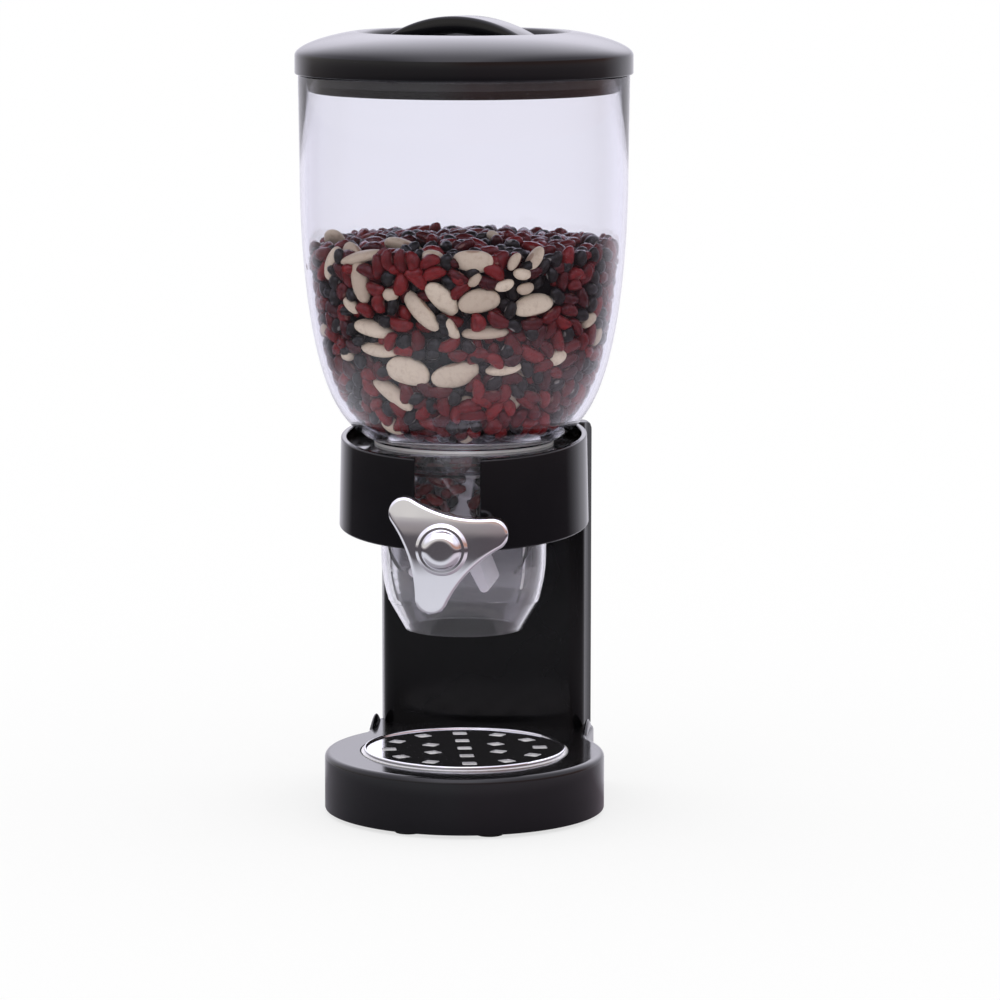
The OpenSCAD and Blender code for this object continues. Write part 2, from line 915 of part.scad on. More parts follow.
module shaft_clip() {
    color([0.55, 0.55, 0.58])
        along_shaft(clip_y + clip_t)
            linear_extrude(clip_t)
                difference() {
                    circle(r = shaft_r + 3);
                    circle(r = shaft_r - 0.7);
                    translate([0, -2 * shaft_r])
                        square([1.2 * shaft_r, 4 * shaft_r], center = true);
                }
}

module paddle_core() {
    color([0.82, 0.81, 0.8])
        along_shaft(cheek_in - end_gap)
            difference() {
                cylinder(h = 2 * (cheek_in - end_gap), r = core_r);
                translate([0, 0, -over])
                    cylinder(h = 2 * cheek_in + over, r = shaft_r);
            }
}

// one blade of the wheel: it tapers from the core to a round tip
module blade_face() {
    tip = paddle_r - blade_tip / 2;
    polygon([
        [core_r + skin_t / 2, -blade_root / 2],
        [tip, -blade_tip / 2],
        [tip, blade_tip / 2],
        [core_r + skin_t / 2, blade_root / 2]
    ]);
    translate([tip, 0])
        circle(r = blade_tip / 2);
}

module paddle_blades() {
    color([0.8, 0.78, 0.77])
        along_shaft(paddle_half)
            linear_extrude(2 * paddle_half)
                difference() {
                    union() {
                        circle(r = core_r + skin_t);
                        for (k = [0 : blades - 1])
                            rotate(blade_turn + 360 / blades * k)
                                blade_face();
                    }
                    circle(r = core_r);
                }
}

// the knob's outline: round lobes joined by hollow flanks, drawn in by inset
module knob_face(inset) {
    turn = 180 / lobes;
    lobe = lobe_r - inset;
    deep = valley_r - inset;
    // each flank is part of a circle that touches both lobes and comes as near as deep
    far = (lobe_at * lobe_at - pow(lobe - deep, 2))
        / (2 * (lobe_at * cos(turn) - deep + lobe));
    flank = far - deep;
    reach = sqrt(lobe_at * lobe_at + far * far - 2 * lobe_at * far * cos(turn));
    step = (lobe - 0.3) / reach;
    corner = function(lobe_a, flank_a)
        lobe_at * (1 - step) * [cos(lobe_a), sin(lobe_a)]
        + far * step * [cos(flank_a), sin(flank_a)];
    difference() {
        polygon([
            for (k = [0 : lobes - 1])
                let (a = 2 * turn * k)
                each [corner(a, a - turn), corner(a, a + turn)]
        ]);
        for (k = [0 : lobes - 1])
            rotate(2 * turn * k + turn)
                translate([far, 0])
                    circle(r = flank);
    }
    for (k = [0 : lobes - 1])
        rotate(2 * turn * k)
            translate([lobe_at, 0])
                circle(r = lobe);
}

module knob() {
    color([0.85, 0.85, 0.87])
        difference() {
            union() {
                along_shaft(-knob_back)
                    rotate(lobe_turn)
                        linear_extrude(knob_t)
                            knob_face(knob_soft);
                along_shaft(-knob_back - knob_soft)
                    rotate(lobe_turn)
                        linear_extrude(knob_t - 2 * knob_soft)
                            knob_face(0);
                along_shaft(-sleeve_front - bush_lip - end_gap)
                    cylinder(h = knob_back - sleeve_front - bush_lip, r = sleeve_r);
                along_shaft(-knob_front)
                    cylinder(h = boss_h, r1 = boss_r, r2 = boss_r - boss_h / 2);
            }
            along_shaft(-sleeve_front)
                cylinder(h = shaft_front - sleeve_front, r = shaft_r);
            along_shaft(-sleeve_front)
                cylinder(h = knob_front + boss_h + over - sleeve_front, r = screw_r + fit_gap);
            along_shaft(-knob_front)
                cylinder(h = boss_h + over, r = screw_head_r + fit_gap);
        }
}

module knob_cap() {
    dome_r = (cap_r * cap_r + cap_h * cap_h) / (2 * cap_h);
    color([0.88, 0.88, 0.9])
        along_shaft(-knob_front - boss_h)
            intersection() {
                translate([0, 0, cap_h - dome_r])
                    sphere(r = dome_r);
                cylinder(h = cap_h + over, r = cap_r);
            }
}

module knob_screw() {
    color([0.6, 0.6, 0.62])
        along_shaft(-knob_front) {
            cylinder(h = screw_head_h - 0.4, r = screw_head_r);
            translate([0, 0, -screw_bite])
                cylinder(h = screw_bite + over / 2, r = screw_r);
        }
}

module lid_shell() {
    crown = [
        for (k = [0 : dome_steps])
            let (share = sin(90 * k / dome_steps))
            [well_r + (lid_r - well_r) * share, rim_z + lid_side + shoulder(share)]
    ];
    roof = [
        for (k = [0 : dome_steps])
            let (share = sin(90 * k / dome_steps))
            [
                well_r + (lid_r - lid_wall - well_r) * share,
                rim_z + lid_side - lid_wall + shoulder(share)
            ]
    ];
    rib = plug_r - plug_wall / 2;
    rib_low = rim_z + plug_flange_t;
    depth = lip_z - floor_z;
    color([0.07, 0.07, 0.09])
        union() {
            rotate_extrude() {
                polygon(concat(
                    [
                        [0, floor_z - lid_wall],
                        [well_r - well_soft / 3, floor_z - lid_wall],
                        [well_r - well_soft / 20, floor_z + lid_wall]
                    ],
                    roof,
                    [
                        [lid_r - lid_wall, rim_z],
                        [lid_r, rim_z]
                    ],
                    [for (k = [dome_steps : -1 : 0]) crown[k]],
                    [
                        for (k = [1 : well_steps])
                            let (s = k / well_steps)
                            [
                                well_r - well_soft * (s + 0.85 * sin(360 * s) / (2 * PI)),
                                lip_z - depth * (1 - cos(180 * s)) / 2
                            ]
                    ],
                    [[0, floor_z]]
                ));
                translate([rib - rib_t / 2, rib_low])
                    square([rib_t, roof_at(rib) + lid_wall / 2 - rib_low]);
            }
            intersection() {
                rotate([90, 0, -arch_turn])
                    translate([0, 0, -arch_half])
                        linear_extrude(2 * arch_half)
                            intersection() {
                                difference() {
                                    translate([0, arch_z])
                                        circle(r = arch_r);
                                    translate([0, arch_z])
                                        circle(r = arch_r - arch_t);
                                }
                                translate([-well_r, floor_z - lid_wall / 2])
                                    square([2 * well_r, arch_top]);
                            }
                cylinder(h = arch_top + over, r = well_r - well_soft / 3);
            }
        }
}

module lid_plug() {
    low = rim_z - plug_depth;
    color([0.13, 0.13, 0.15])
        rotate_extrude()
            polygon([
                [0, low],
                [plug_r - plug_floor / 2, low],
                [plug_r, low + plug_floor / 2],
                [plug_r, rim_z - seal_drop - seal_h],
                [plug_r - groove, rim_z - seal_drop - seal_h],
                [plug_r - groove, rim_z - seal_drop],
                [plug_r, rim_z - seal_drop],
                [plug_r, rim_z],
                [plug_flange_r, rim_z],
                [plug_flange_r, rim_z + plug_flange_t],
                [plug_r - plug_wall, rim_z + plug_flange_t],
                [plug_r - plug_wall, low + plug_floor],
                [0, low + plug_floor]
            ]);
}

module lid_seal() {
    color([0.1, 0.1, 0.11])
        translate([0, 0, rim_z - seal_drop - seal_h])
            difference() {
                cylinder(h = seal_h, r = bin_bore - lift_gap);
                translate([0, 0, -over])
                    cylinder(h = seal_h + 2 * over, r = plug_r - groove);
            }
}

base_shell();
base_cover();
rubber_feet();
base_screws();
column_front();
column_back();
column_screws();
back_screws();
holder_ring();
ring_screws();
crumb_tray();
grille_plate();
grille_rim();
bin();
bin_gasket();
chamber();
front_bush();
rear_bush();
drive_shaft();
shaft_clip();
paddle_core();
paddle_blades();
knob();
knob_cap();
knob_screw();
lid_shell();
lid_plug();
lid_seal();
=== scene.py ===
# Gravity dispenser for dry food on a white floor, dressed over its CAD frame.
# Lengths are millimetres until a mesh is made, and the front looks towards -Y.

import math

import bmesh
import bpy
import numpy as np
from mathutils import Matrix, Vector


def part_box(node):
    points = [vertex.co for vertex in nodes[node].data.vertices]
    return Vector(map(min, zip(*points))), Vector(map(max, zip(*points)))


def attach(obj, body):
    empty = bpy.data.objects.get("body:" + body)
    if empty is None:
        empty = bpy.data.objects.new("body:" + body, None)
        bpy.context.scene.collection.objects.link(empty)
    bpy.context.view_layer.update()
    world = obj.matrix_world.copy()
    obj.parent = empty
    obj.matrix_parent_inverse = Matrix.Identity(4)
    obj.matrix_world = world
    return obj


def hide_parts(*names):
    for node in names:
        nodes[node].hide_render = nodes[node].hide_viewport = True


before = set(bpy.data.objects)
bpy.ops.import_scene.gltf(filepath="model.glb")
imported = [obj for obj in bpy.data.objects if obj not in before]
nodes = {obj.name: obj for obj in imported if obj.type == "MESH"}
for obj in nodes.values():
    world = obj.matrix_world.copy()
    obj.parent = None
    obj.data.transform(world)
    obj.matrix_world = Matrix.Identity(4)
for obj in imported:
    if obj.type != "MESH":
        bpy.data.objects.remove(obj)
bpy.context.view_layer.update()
mm = 0.001


# lowest and highest corner of a node of the frame, in millimetres
def span(name):
    low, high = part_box(name)
    return np.array(low) / mm, np.array(high) / mm


# points on a circle's arc: centre plus radius times the cosine and sine of the angle in degrees
def arc(cx, cy, radius, start, end, count):
    turn = np.radians(np.linspace(start, end, count))
    return np.stack([cx + radius * np.cos(turn), cy + radius * np.sin(turn)], axis=1)


# a closed outline whose corners (x, y, radius) become arcs that touch both neighbouring sides
def rounded(corners, count=5):
    points = np.array([corner[:2] for corner in corners], float)
    path = []
    for k, (here, corner) in enumerate(zip(points, corners)):
        if corner[2] == 0:
            path.append(here[None])
            continue
        before = points[k - 1] - here
        after = points[(k + 1) % len(points)] - here
        before /= np.linalg.norm(before)
        after /= np.linalg.norm(after)
        half = math.acos(max(-1, min(1, before @ after))) / 2
        middle = (before + after) / np.linalg.norm(before + after)
        centre = here + middle * corner[2] / math.sin(half)
        first = here + before * corner[2] / math.tan(half) - centre
        last = here + after * corner[2] / math.tan(half) - centre
        sweep = math.pi - 2 * half
        share = np.linspace(0, 1, count)[:, None]
        path.append(centre + (np.sin((1 - share) * sweep) * first + np.sin(share * sweep) * last)
                    / math.sin(sweep))
    return np.concatenate(path)


# points of a curve as corners without rounding
def sharp(points):
    return [(x, y, 0) for x, y in points]


# outward normals of a closed flat outline that runs anticlockwise: the step between its
# neighbours, turned by a right angle
def outlineNormals(outline):
    ahead = np.roll(outline, -1, axis=0) - outline
    behind = outline - np.roll(outline, 1, axis=0)
    ahead /= np.linalg.norm(ahead, axis=1)[:, None]
    behind /= np.linalg.norm(behind, axis=1)[:, None]
    step = ahead + behind
    step /= np.linalg.norm(step, axis=1)[:, None]
    return np.stack([step[:, 1], -step[:, 0]], axis=1)


# a grid of points from x, y and z, each stretched to the grid's size
def gridOf(x, y, z):
    return np.stack(np.broadcast_arrays(x, y, z), axis=2)


# a surface of revolution: each profile point (r, z) goes round to (r cos t, r sin t, z)
def revolved(profile, steps):
    turn = np.linspace(0, 2 * np.pi, steps, endpoint=False)[:, None]
    r = profile[None, :, 0]
    return gridOf(r * np.cos(turn), r * np.sin(turn), profile[None, :, 1])


# one mesh from grids of points: each is (grid, closed along u, closed along v, ends filled)
def solid(name, *parts):
    work = bmesh.new()
    for grid, closeU, closeV, caps in parts:
        nu, nv = grid.shape[:2]
        index = np.arange(nu * nv).reshape(nu, nv)
        u = np.arange(nu if closeU else nu - 1)
        v = np.arange(nv if closeV else nv - 1)
        corners = [index[np.ix_((u + a) % nu, (v + b) % nv)]
                   for a, b in ((0, 0), (1, 0), (1, 1), (0, 1))]
        faces = np.stack(corners, axis=2).reshape(-1, 4).tolist()
        if caps:
            faces += [index[0].tolist(), index[-1].tolist()]
        mesh = bpy.data.meshes.new(name)
        mesh.from_pydata((grid.reshape(-1, 3) * mm).tolist(), [], faces)
        work.from_mesh(mesh)
        bpy.data.meshes.remove(mesh)
    bmesh.ops.remove_doubles(work, verts=work.verts, dist=1e-6)
    bmesh.ops.recalc_face_normals(work, faces=work.faces)
    mesh = bpy.data.meshes.new(name)
    work.to_mesh(mesh)
    work.free()
    mesh.polygons.foreach_set("use_smooth", np.ones(len(mesh.polygons), bool))
    obj = bpy.data.objects.new(name, mesh)
    bpy.context.scene.collection.objects.link(obj)
    return obj


# gives a piece its material and body, and its edges a rounding in millimetres
def dress(obj, material, slot, body, *replaced, edge=0.0, angle=35):
    obj.data.materials.clear()
    obj.data.materials.append(material)
    if edge:
        bevel = obj.modifiers.new("edge", "BEVEL")
        bevel.width = edge * mm
        bevel.segments = 3
        bevel.limit_method = "ANGLE"
        bevel.angle_limit = math.radians(angle)
        bevel.harden_normals = True
    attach(obj, body)
    if replaced:
        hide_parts(*replaced)


# adds a shader node with its properties and inputs set; an input may be a socket to link
def add(tree, kind, inputs=None, **properties):
    made = tree.nodes.new(kind)
    for key, value in properties.items():
        setattr(made, key, value)
    for key, value in (inputs or {}).items():
        if isinstance(value, bpy.types.NodeSocket):
            tree.links.new(value, made.inputs[key])
        else:
            made.inputs[key].default_value = value
    return made


# a Math node's result
def math2(tree, operation, a, b=0.0, c=0.0):
    return add(tree, "ShaderNodeMath", {0: a, 1: b, 2: c}, operation=operation).outputs[0]


# value between low and high goes to 0..1
def remap(tree, value, low, high):
    return add(tree, "ShaderNodeMapRange", {"Value": value, "From Min": low,
                                            "From Max": high}).outputs["Result"]


# a colour between a and b
def mixColor(tree, factor, a, b, blend="MIX"):
    made = add(tree, "ShaderNodeMix", {0: factor, 6: a, 7: b}, data_type="RGBA", blend_type=blend)
    return made.outputs[2]


# sends a mix of two shaders to the material's output
def shownAs(tree, factor, first, second):
    mixed = add(tree, "ShaderNodeMixShader", {0: factor, 1: first, 2: second})
    tree.links.new(mixed.outputs[0], tree.nodes["Material Output"].inputs["Surface"])


# a cloud of noise at a scale per metre
def noise(tree, place, scale, detail):
    return add(tree, "ShaderNodeTexNoise", {"Vector": place, "Scale": scale,
                                            "Detail": detail}).outputs["Fac"]


# a new node group with the named inputs and outputs
def newGroup(name, inputs, outputs):
    group = bpy.data.node_groups.new(name, "ShaderNodeTree")
    for label, kind, default in inputs:
        socket = group.interface.new_socket(label, in_out="INPUT", socket_type=kind)
        socket.default_value = default
    for label, kind in outputs:
        group.interface.new_socket(label, in_out="OUTPUT", socket_type=kind)
    return group, group.nodes.new("NodeGroupInput"), group.nodes.new("NodeGroupOutput")


# fine moulding ripple and hairline scuffs: a height for bump and a change of roughness
def makeScuff():
    group, inside, outside = newGroup(
        "Scuff", [("Vector", "NodeSocketVector", (0, 0, 0)), ("Amount", "NodeSocketFloat", 1.0)],
        [("Height", "NodeSocketFloat"), ("Roughness", "NodeSocketFloat")])
    ripple = noise(group, inside.outputs["Vector"], 38.0, 2.0)
    stretched = add(group, "ShaderNodeMapping", {"Vector": inside.outputs["Vector"],
                                                 "Rotation": (0.3, 0.5, 0.8),
                                                 "Scale": (2600.0, 60.0, 240.0)})
    lines = remap(group, noise(group, stretched.outputs[0], 1.0, 3.0), 0.64, 0.72)
    spread = remap(group, noise(group, inside.outputs["Vector"], 90.0, 5.0), 0.35, 0.7)
    height = math2(group, "MULTIPLY_ADD", lines, -0.12, ripple)
    rough = math2(group, "MULTIPLY_ADD", spread, 0.5, math2(group, "MULTIPLY", lines, 0.5))
    for value, label in ((height, "Height"), (rough, "Roughness")):
        group.links.new(math2(group, "MULTIPLY", value, inside.outputs["Amount"]),
                        outside.inputs[label])
    return group


# a thin film of dust that lies on faces that look up
def makeDust():
    group, inside, outside = newGroup(
        "Dust", [("Vector", "NodeSocketVector", (0, 0, 0)), ("Amount", "NodeSocketFloat", 1.0)],
        [("Mask", "NodeSocketFloat")])
    geometry = group.nodes.new("ShaderNodeNewGeometry")
    up = add(group, "ShaderNodeSeparateXYZ", {0: geometry.outputs["Normal"]})
    facing = remap(group, up.outputs["Z"], 0.3, 1.0)
    spots = remap(group, noise(group, inside.outputs["Vector"], 900.0, 3.0), 0.52, 0.72)
    film = remap(group, noise(group, inside.outputs["Vector"], 26.0, 4.0), 0.3, 0.75)
    mask = math2(group, "MULTIPLY", math2(group, "MULTIPLY", facing, film),
                 math2(group, "MULTIPLY_ADD", spots, 0.7, 0.3))
    group.links.new(math2(group, "MULTIPLY", mask, inside.outputs["Amount"]),
                    outside.inputs["Mask"])
    return group


scuff = makeScuff()
dust = makeDust()


# a material with its Principled shader's inputs set, and its Object coordinates
def newMaterial(name, **inputs):
    material = bpy.data.materials.new(name)
    material.use_nodes = True
    tree = material.node_tree
    shader = tree.nodes["Principled BSDF"]
    for key, value in inputs.items():
        shader.inputs[key.replace("_", " ")].default_value = value
    place = tree.nodes.new("ShaderNodeTexCoord").outputs["Object"]
    return material, tree, shader, place


# links a base colour with dust, a roughness with scuffs and a bump to a Principled shader
def surfaceLook(tree, shader, place, color, roughness, scuffed, dusty, bump):
    marks = add(tree, "ShaderNodeGroup", {}, node_tree=scuff)
    tree.links.new(place, marks.inputs["Vector"])
    film = add(tree, "ShaderNodeGroup", {}, node_tree=dust)
    tree.links.new(place, film.inputs["Vector"])
    film.inputs["Amount"].default_value = dusty
    mixed = mixColor(tree, film.outputs["Mask"], color, (0.42, 0.4, 0.38, 1))
    tree.links.new(mixed, shader.inputs["Base Color"])
    rough = math2(tree, "MULTIPLY_ADD", marks.outputs["Roughness"], scuffed, roughness)
    tree.links.new(math2(tree, "MULTIPLY_ADD", film.outputs["Mask"], 0.5, rough),
                   shader.inputs["Roughness"])
    relief = add(tree, "ShaderNodeBump", {"Height": marks.outputs["Height"], "Distance": bump,
                                          "Strength": 1.0})
    tree.links.new(relief.outputs["Normal"], shader.inputs["Normal"])


# slow change of a colour over a piece, between two tones
def toned(tree, place, a, b, scale):
    return mixColor(tree, remap(tree, noise(tree, place, scale, 3.0), 0.3, 0.7), a, b)


# a finish of two close tones that drift over a scale per metre, with scuffs, dust and fine relief
def makeFinish(name, dark, light, drift, roughness, scuffed, dusty, bump, **inputs):
    material, tree, shader, place = newMaterial(name, **inputs)
    color = toned(tree, place, dark, light, drift)
    surfaceLook(tree, shader, place, color, roughness, scuffed, dusty, bump)
    return material


# lets shadow rays and soft light go straight through a material, tinted by a colour
def letThrough(material, color):
    tree = material.node_tree
    ray = tree.nodes.new("ShaderNodeLightPath")
    through = add(tree, "ShaderNodeBsdfTransparent", {"Color": color})
    passing = math2(tree, "MAXIMUM", ray.outputs["Is Shadow Ray"], ray.outputs["Is Diffuse Ray"])
    shownAs(tree, passing, tree.nodes["Principled BSDF"].outputs[0], through.outputs[0])
    return material


def makeSteel(name, light, dark, roughness, bump):
    return makeFinish(name, light, dark, 45.0, roughness, 0.1, 0.05, bump, Metallic=1.0)


# clear moulded plastic in two close tints; clearness is its share of transmission
def makeClear(name, tint, roughness, clearness):
    other = tuple(c * 0.985 for c in tint[:3]) + (1,)
    material = makeFinish(name, tint, other, 12.0, roughness, 0.02, 0.0, 0.000008, IOR=1.4,
                          Transmission_Weight=clearness)
    return letThrough(material, tuple(c ** 0.5 for c in tint[:3]) + (1,))


# a bean's skin: its own tone, darker speckles, and a paler or darker eye at its hollow side
def makeBean(name, dark, light, speck, eye, roughness):
    material, tree, shader, place = newMaterial(name, IOR=1.5, Specular_IOR_Level=0.25)
    tone = add(tree, "ShaderNodeAttribute", attribute_name="tone").outputs["Fac"]
    local = add(tree, "ShaderNodeAttribute", attribute_name="local").outputs["Vector"]
    skin = mixColor(tree, tone, dark, light)
    speckles = remap(tree, noise(tree, place, 420.0, 4.0), 0.5, 0.72)
    skin = mixColor(tree, math2(tree, "MULTIPLY", speckles, 0.55), skin, speck)
    apart = add(tree, "ShaderNodeVectorMath", {0: local, 1: (0.0, -1.0, 0.0)},
                operation="DISTANCE")
    spot = remap(tree, apart.outputs["Value"], 0.42, 0.3)
    skin = mixColor(tree, math2(tree, "MULTIPLY", spot, 0.8), skin, eye)
    surfaceLook(tree, shader, place, skin, roughness, 0.15, 0.0, 0.00006)
    return material


blackGloss = makeFinish("blackGloss", (0.0032, 0.0031, 0.0042, 1), (0.005, 0.0047, 0.0062, 1),
                        14.0, 0.1, 0.05, 0.05, 0.000012, IOR=1.5, Specular_IOR_Level=0.36)
blackSatin = makeFinish("blackSatin", (0.0028, 0.0027, 0.0032, 1), (0.0042, 0.004, 0.0047, 1),
                        14.0, 0.13, 0.05, 0.04, 0.000012, IOR=1.5, Specular_IOR_Level=0.14)
blackMatte = makeFinish("blackMatte", (0.005, 0.005, 0.006, 1), (0.008, 0.008, 0.009, 1),
                        30.0, 0.34, 0.12, 0.12, 0.00003, IOR=1.5, Specular_IOR_Level=0.25)
footRubber = makeFinish("footRubber", (0.02, 0.02, 0.021, 1), (0.032, 0.031, 0.03, 1),
                        60.0, 0.7, 0.15, 0.3, 0.00008)
screwSteel = makeSteel("screwSteel", (0.6, 0.6, 0.62, 1), (0.52, 0.52, 0.54, 1), 0.25, 0.00003)
polished = makeSteel("polishedSteel", (0.76, 0.76, 0.79, 1), (0.7, 0.7, 0.73, 1), 0.1, 0.000012)
chrome = makeSteel("knobChrome", (0.84, 0.84, 0.87, 1), (0.8, 0.8, 0.83, 1), 0.05, 0.000008)
# the grille's holes are small, so soft light is let through its steel to the tray under it
grilleSteel = letThrough(makeSteel("grilleSteel", (0.76, 0.76, 0.79, 1), (0.7, 0.7, 0.73, 1), 0.06,
                                   0.000008), (1, 1, 1, 1))
trayWhite = makeFinish("trayWhite", (0.9, 0.88, 0.9, 1), (0.95, 0.93, 0.95, 1),
                       40.0, 0.25, 0.1, 0.15, 0.00002, IOR=1.46)
silicone = makeFinish("paleSilicone", (0.6, 0.57, 0.57, 1), (0.67, 0.65, 0.65, 1),
                      70.0, 0.42, 0.15, 0.08, 0.00004, IOR=1.41, Subsurface_Weight=0.15,
                      Subsurface_Radius=(0.004, 0.003, 0.003), Subsurface_Scale=1.0)
bushPlastic = makeFinish("bushPlastic", (0.62, 0.6, 0.58, 1), (0.7, 0.69, 0.67, 1),
                         80.0, 0.35, 0.15, 0.05, 0.00003, IOR=1.5)
clearBin = makeClear("clearBin", (0.924, 0.922, 0.984, 1), 0.02, 1.0)
clearChamber = makeClear("clearChamber", (0.95, 0.945, 0.985, 1), 0.05, 0.975)
redSkin = makeBean("beanRed", (0.04, 0.004, 0.005, 1), (0.19, 0.012, 0.012, 1),
                   (0.028, 0.003, 0.004, 1), (0.24, 0.12, 0.1, 1), 0.24)
blackSkin = makeBean("beanBlack", (0.004, 0.004, 0.004, 1), (0.017, 0.014, 0.013, 1),
                     (0.035, 0.032, 0.03, 1), (0.3, 0.28, 0.26, 1), 0.28)
creamSkin = makeBean("beanCream", (0.48, 0.38, 0.28, 1), (0.68, 0.57, 0.43, 1),
                     (0.42, 0.31, 0.22, 1), (0.32, 0.2, 0.14, 1), 0.34)
print("materials ready")


# nodes of the CAD frame that keep their own mesh, by their material
plainNodes = {
    "base_cover": blackMatte, "rubber_feet": footRubber, "base_screws": screwSteel,
    "column_back": blackSatin, "column_screws": screwSteel, "back_screws": screwSteel,
    "ring_screws": screwSteel, "crumb_tray": trayWhite, "grille_plate": grilleSteel,
    "grille_rim": polished, "bin_gasket": silicone, "chamber": clearChamber,
    "front_bush": bushPlastic, "rear_bush": bushPlastic, "drive_shaft": screwSteel,
    "shaft_clip": screwSteel, "paddle_core": bushPlastic, "knob_screw": screwSteel,
    "lid_seal": footRubber,
}
for name, material in plainNodes.items():
    nodes[name].data.materials.clear()
    nodes[name].data.materials.append(material)
print("frame's own pieces ready")


# the bowl's curve ends sink under the foot, and its wall is poleWall times thicker there
binSizes = {"bowlTop": 340.0, "power": 0.19, "wall": 2.5, "flare": 0.7, "neckWall": 2.4,
            "neck": 40.8, "neckLength": 12.0, "foot": 47.0, "sink": 2.16, "poleWall": 1.1,
            "crowd": 1.7, "rimRound": 1.0, "neckRound": 0.8, "footRound": 0.6}
binLow, binHigh = span("bin")
rimZ = binHigh[2]
rimR = binHigh[0]
footZ = binLow[2] + binSizes["neckLength"]
bowlR = rimR - binSizes["flare"]
bowlDepth = binSizes["bowlTop"] - footZ + binSizes["sink"]
boreR = binSizes["neck"] - binSizes["neckWall"]
innerR = bowlR - binSizes["wall"]
innerDepth = bowlDepth - binSizes["poleWall"] * binSizes["wall"]


# radius of the blunt bowl at height z: r times (1 - (drop / depth) squared) to a small power
def bowlRadius(z, radius, depth):
    drop = np.clip((binSizes["bowlTop"] - z) / depth, 0, 1)
    return radius * np.power(np.clip(1 - drop ** 2, 0, 1), binSizes["power"])


# height where the bowl has come down to the radius wanted
def bowlHeight(wanted, radius, depth):
    share = (wanted / radius) ** (1 / binSizes["power"])
    return binSizes["bowlTop"] - depth * math.sqrt(1 - share)


# heights from low to high that crowd towards low
def crowded(low, high, count):
    return low + (high - low) * np.linspace(0, 1, count) ** binSizes["crowd"]


# inner profile from the neck's bore up to the rim, used by the bin and by what lies in it
def innerProfile(count):
    z = crowded(bowlHeight(boreR, innerR, innerDepth), binSizes["bowlTop"], count)
    return np.stack([bowlRadius(z, innerR, innerDepth), z], axis=1)


def makeBin():
    foot, neck, wall = binSizes["foot"], binSizes["neck"], binSizes["wall"]
    meet = bowlHeight(foot, bowlR, bowlDepth)
    outerZ = crowded(meet, binSizes["bowlTop"], 64)[1:]
    outer = np.stack([bowlRadius(outerZ, bowlR, bowlDepth), outerZ], axis=1)
    edge = binSizes["footRound"]
    soft = binSizes["rimRound"]
    corners = [(boreR, binLow[2], edge), (neck, binLow[2], edge),
               (neck, footZ, binSizes["neckRound"]), (foot, footZ, edge), (foot, meet, 0)]
    corners += sharp(outer)
    corners += [(rimR, rimZ, soft), (rimR - wall, rimZ, soft)]
    corners += sharp(innerProfile(64)[::-1])
    obj = solid("binShell", (revolved(rounded(corners), 224), True, True, False))
    dress(obj, clearBin, "clear_plastic", "hopper", "bin")


makeBin()
print("bin ready")


lidSizes = {"side": 9.8, "dome": 12.2, "well": 57.0, "soft": 10.0, "wall": 2.4, "floor": 4.4,
            "skirtRound": 0.8, "archR": 98.0, "archT": 9.0, "archHalf": 7.5, "archTurn": 30.0,
            "archRound": 1.6, "archIn": 4.0, "archSteps": 72, "flat": 30.0}
lidHigh = span("lid_shell")[1]
lidR = lidHigh[0]
lipZ = rimZ + lidSizes["side"] + lidSizes["dome"]
wellZ = rimZ + lidSizes["floor"]


# the lid's shoulder over its side: dome height times (1 - share ^ 1.2) ^ 0.53
def shoulder(share):
    return lidSizes["dome"] * np.power(1 - np.power(share, 1.2), 0.53)


# the well's soft wall: radius and height both ease from the lip down to the floor
def wellWall(count):
    s = np.linspace(0, 1, count)
    r = lidSizes["well"] - lidSizes["soft"] * (s + 0.85 * np.sin(2 * np.pi * s) / (2 * np.pi))
    z = lipZ - (lipZ - wellZ) * (1 - np.cos(np.pi * s)) / 2
    return np.stack([r, z], axis=1)


def lidProfile():
    well, wall, soft = lidSizes["well"], lidSizes["wall"], lidSizes["skirtRound"]
    top = rimZ + lidSizes["side"]
    share = np.sin(np.linspace(0, np.pi / 2, 40))
    inside = lidR - wall
    crown = np.stack([well + (lidR - well) * share, top + shoulder(share)], axis=1)
    roof = np.stack([well + (inside - well) * share, top - wall + shoulder(share)], axis=1)
    corners = [(0, wellZ - wall, 0), (well - 3, wellZ - wall, soft)] + sharp(roof)
    corners += [(inside, rimZ, soft), (lidR, rimZ, soft)] + sharp(crown[::-1])
    corners += sharp(wellWall(26)[1:]) + [(lidSizes["flat"], wellZ, 0), (0, wellZ, 0)]
    return rounded(corners)


# the handle: a rounded oblong swept along an arc over the well, turned so that its right end
# comes forwards
def lidHandle():
    high, half, soft = lidSizes["archR"], lidSizes["archHalf"], lidSizes["archRound"]
    low = high - lidSizes["archT"]
    reach = math.asin((lidSizes["well"] - lidSizes["archIn"]) / high)
    section = rounded([(low, -half, soft), (high, -half, soft), (high, half, soft),
                       (low, half, soft)], 6)
    turn = np.linspace(-reach, reach, lidSizes["archSteps"])[:, None]
    r = section[None, :, 0]
    along = r * np.sin(turn)
    aside = section[None, :, 1]
    c = math.cos(math.radians(lidSizes["archTurn"]))
    s = math.sin(math.radians(lidSizes["archTurn"]))
    z = lidHigh[2] - high + r * np.cos(turn)
    return gridOf(along * c + aside * s, aside * c - along * s, z)


def makeLid():
    obj = solid("lidShell", (revolved(lidProfile(), 224), True, False, False),
                (lidHandle(), False, True, True))
    dress(obj, blackGloss, "black_gloss", "lid", "lid_shell")


plugSizes = {"gap": 1.0, "flangeGap": 0.6, "wall": 4.0, "depth": 9.5, "floor": 2.0,
             "sealDrop": 1.0, "sealH": 4.0, "groove": 2.0, "rimRound": 1.4, "edge": 0.3}


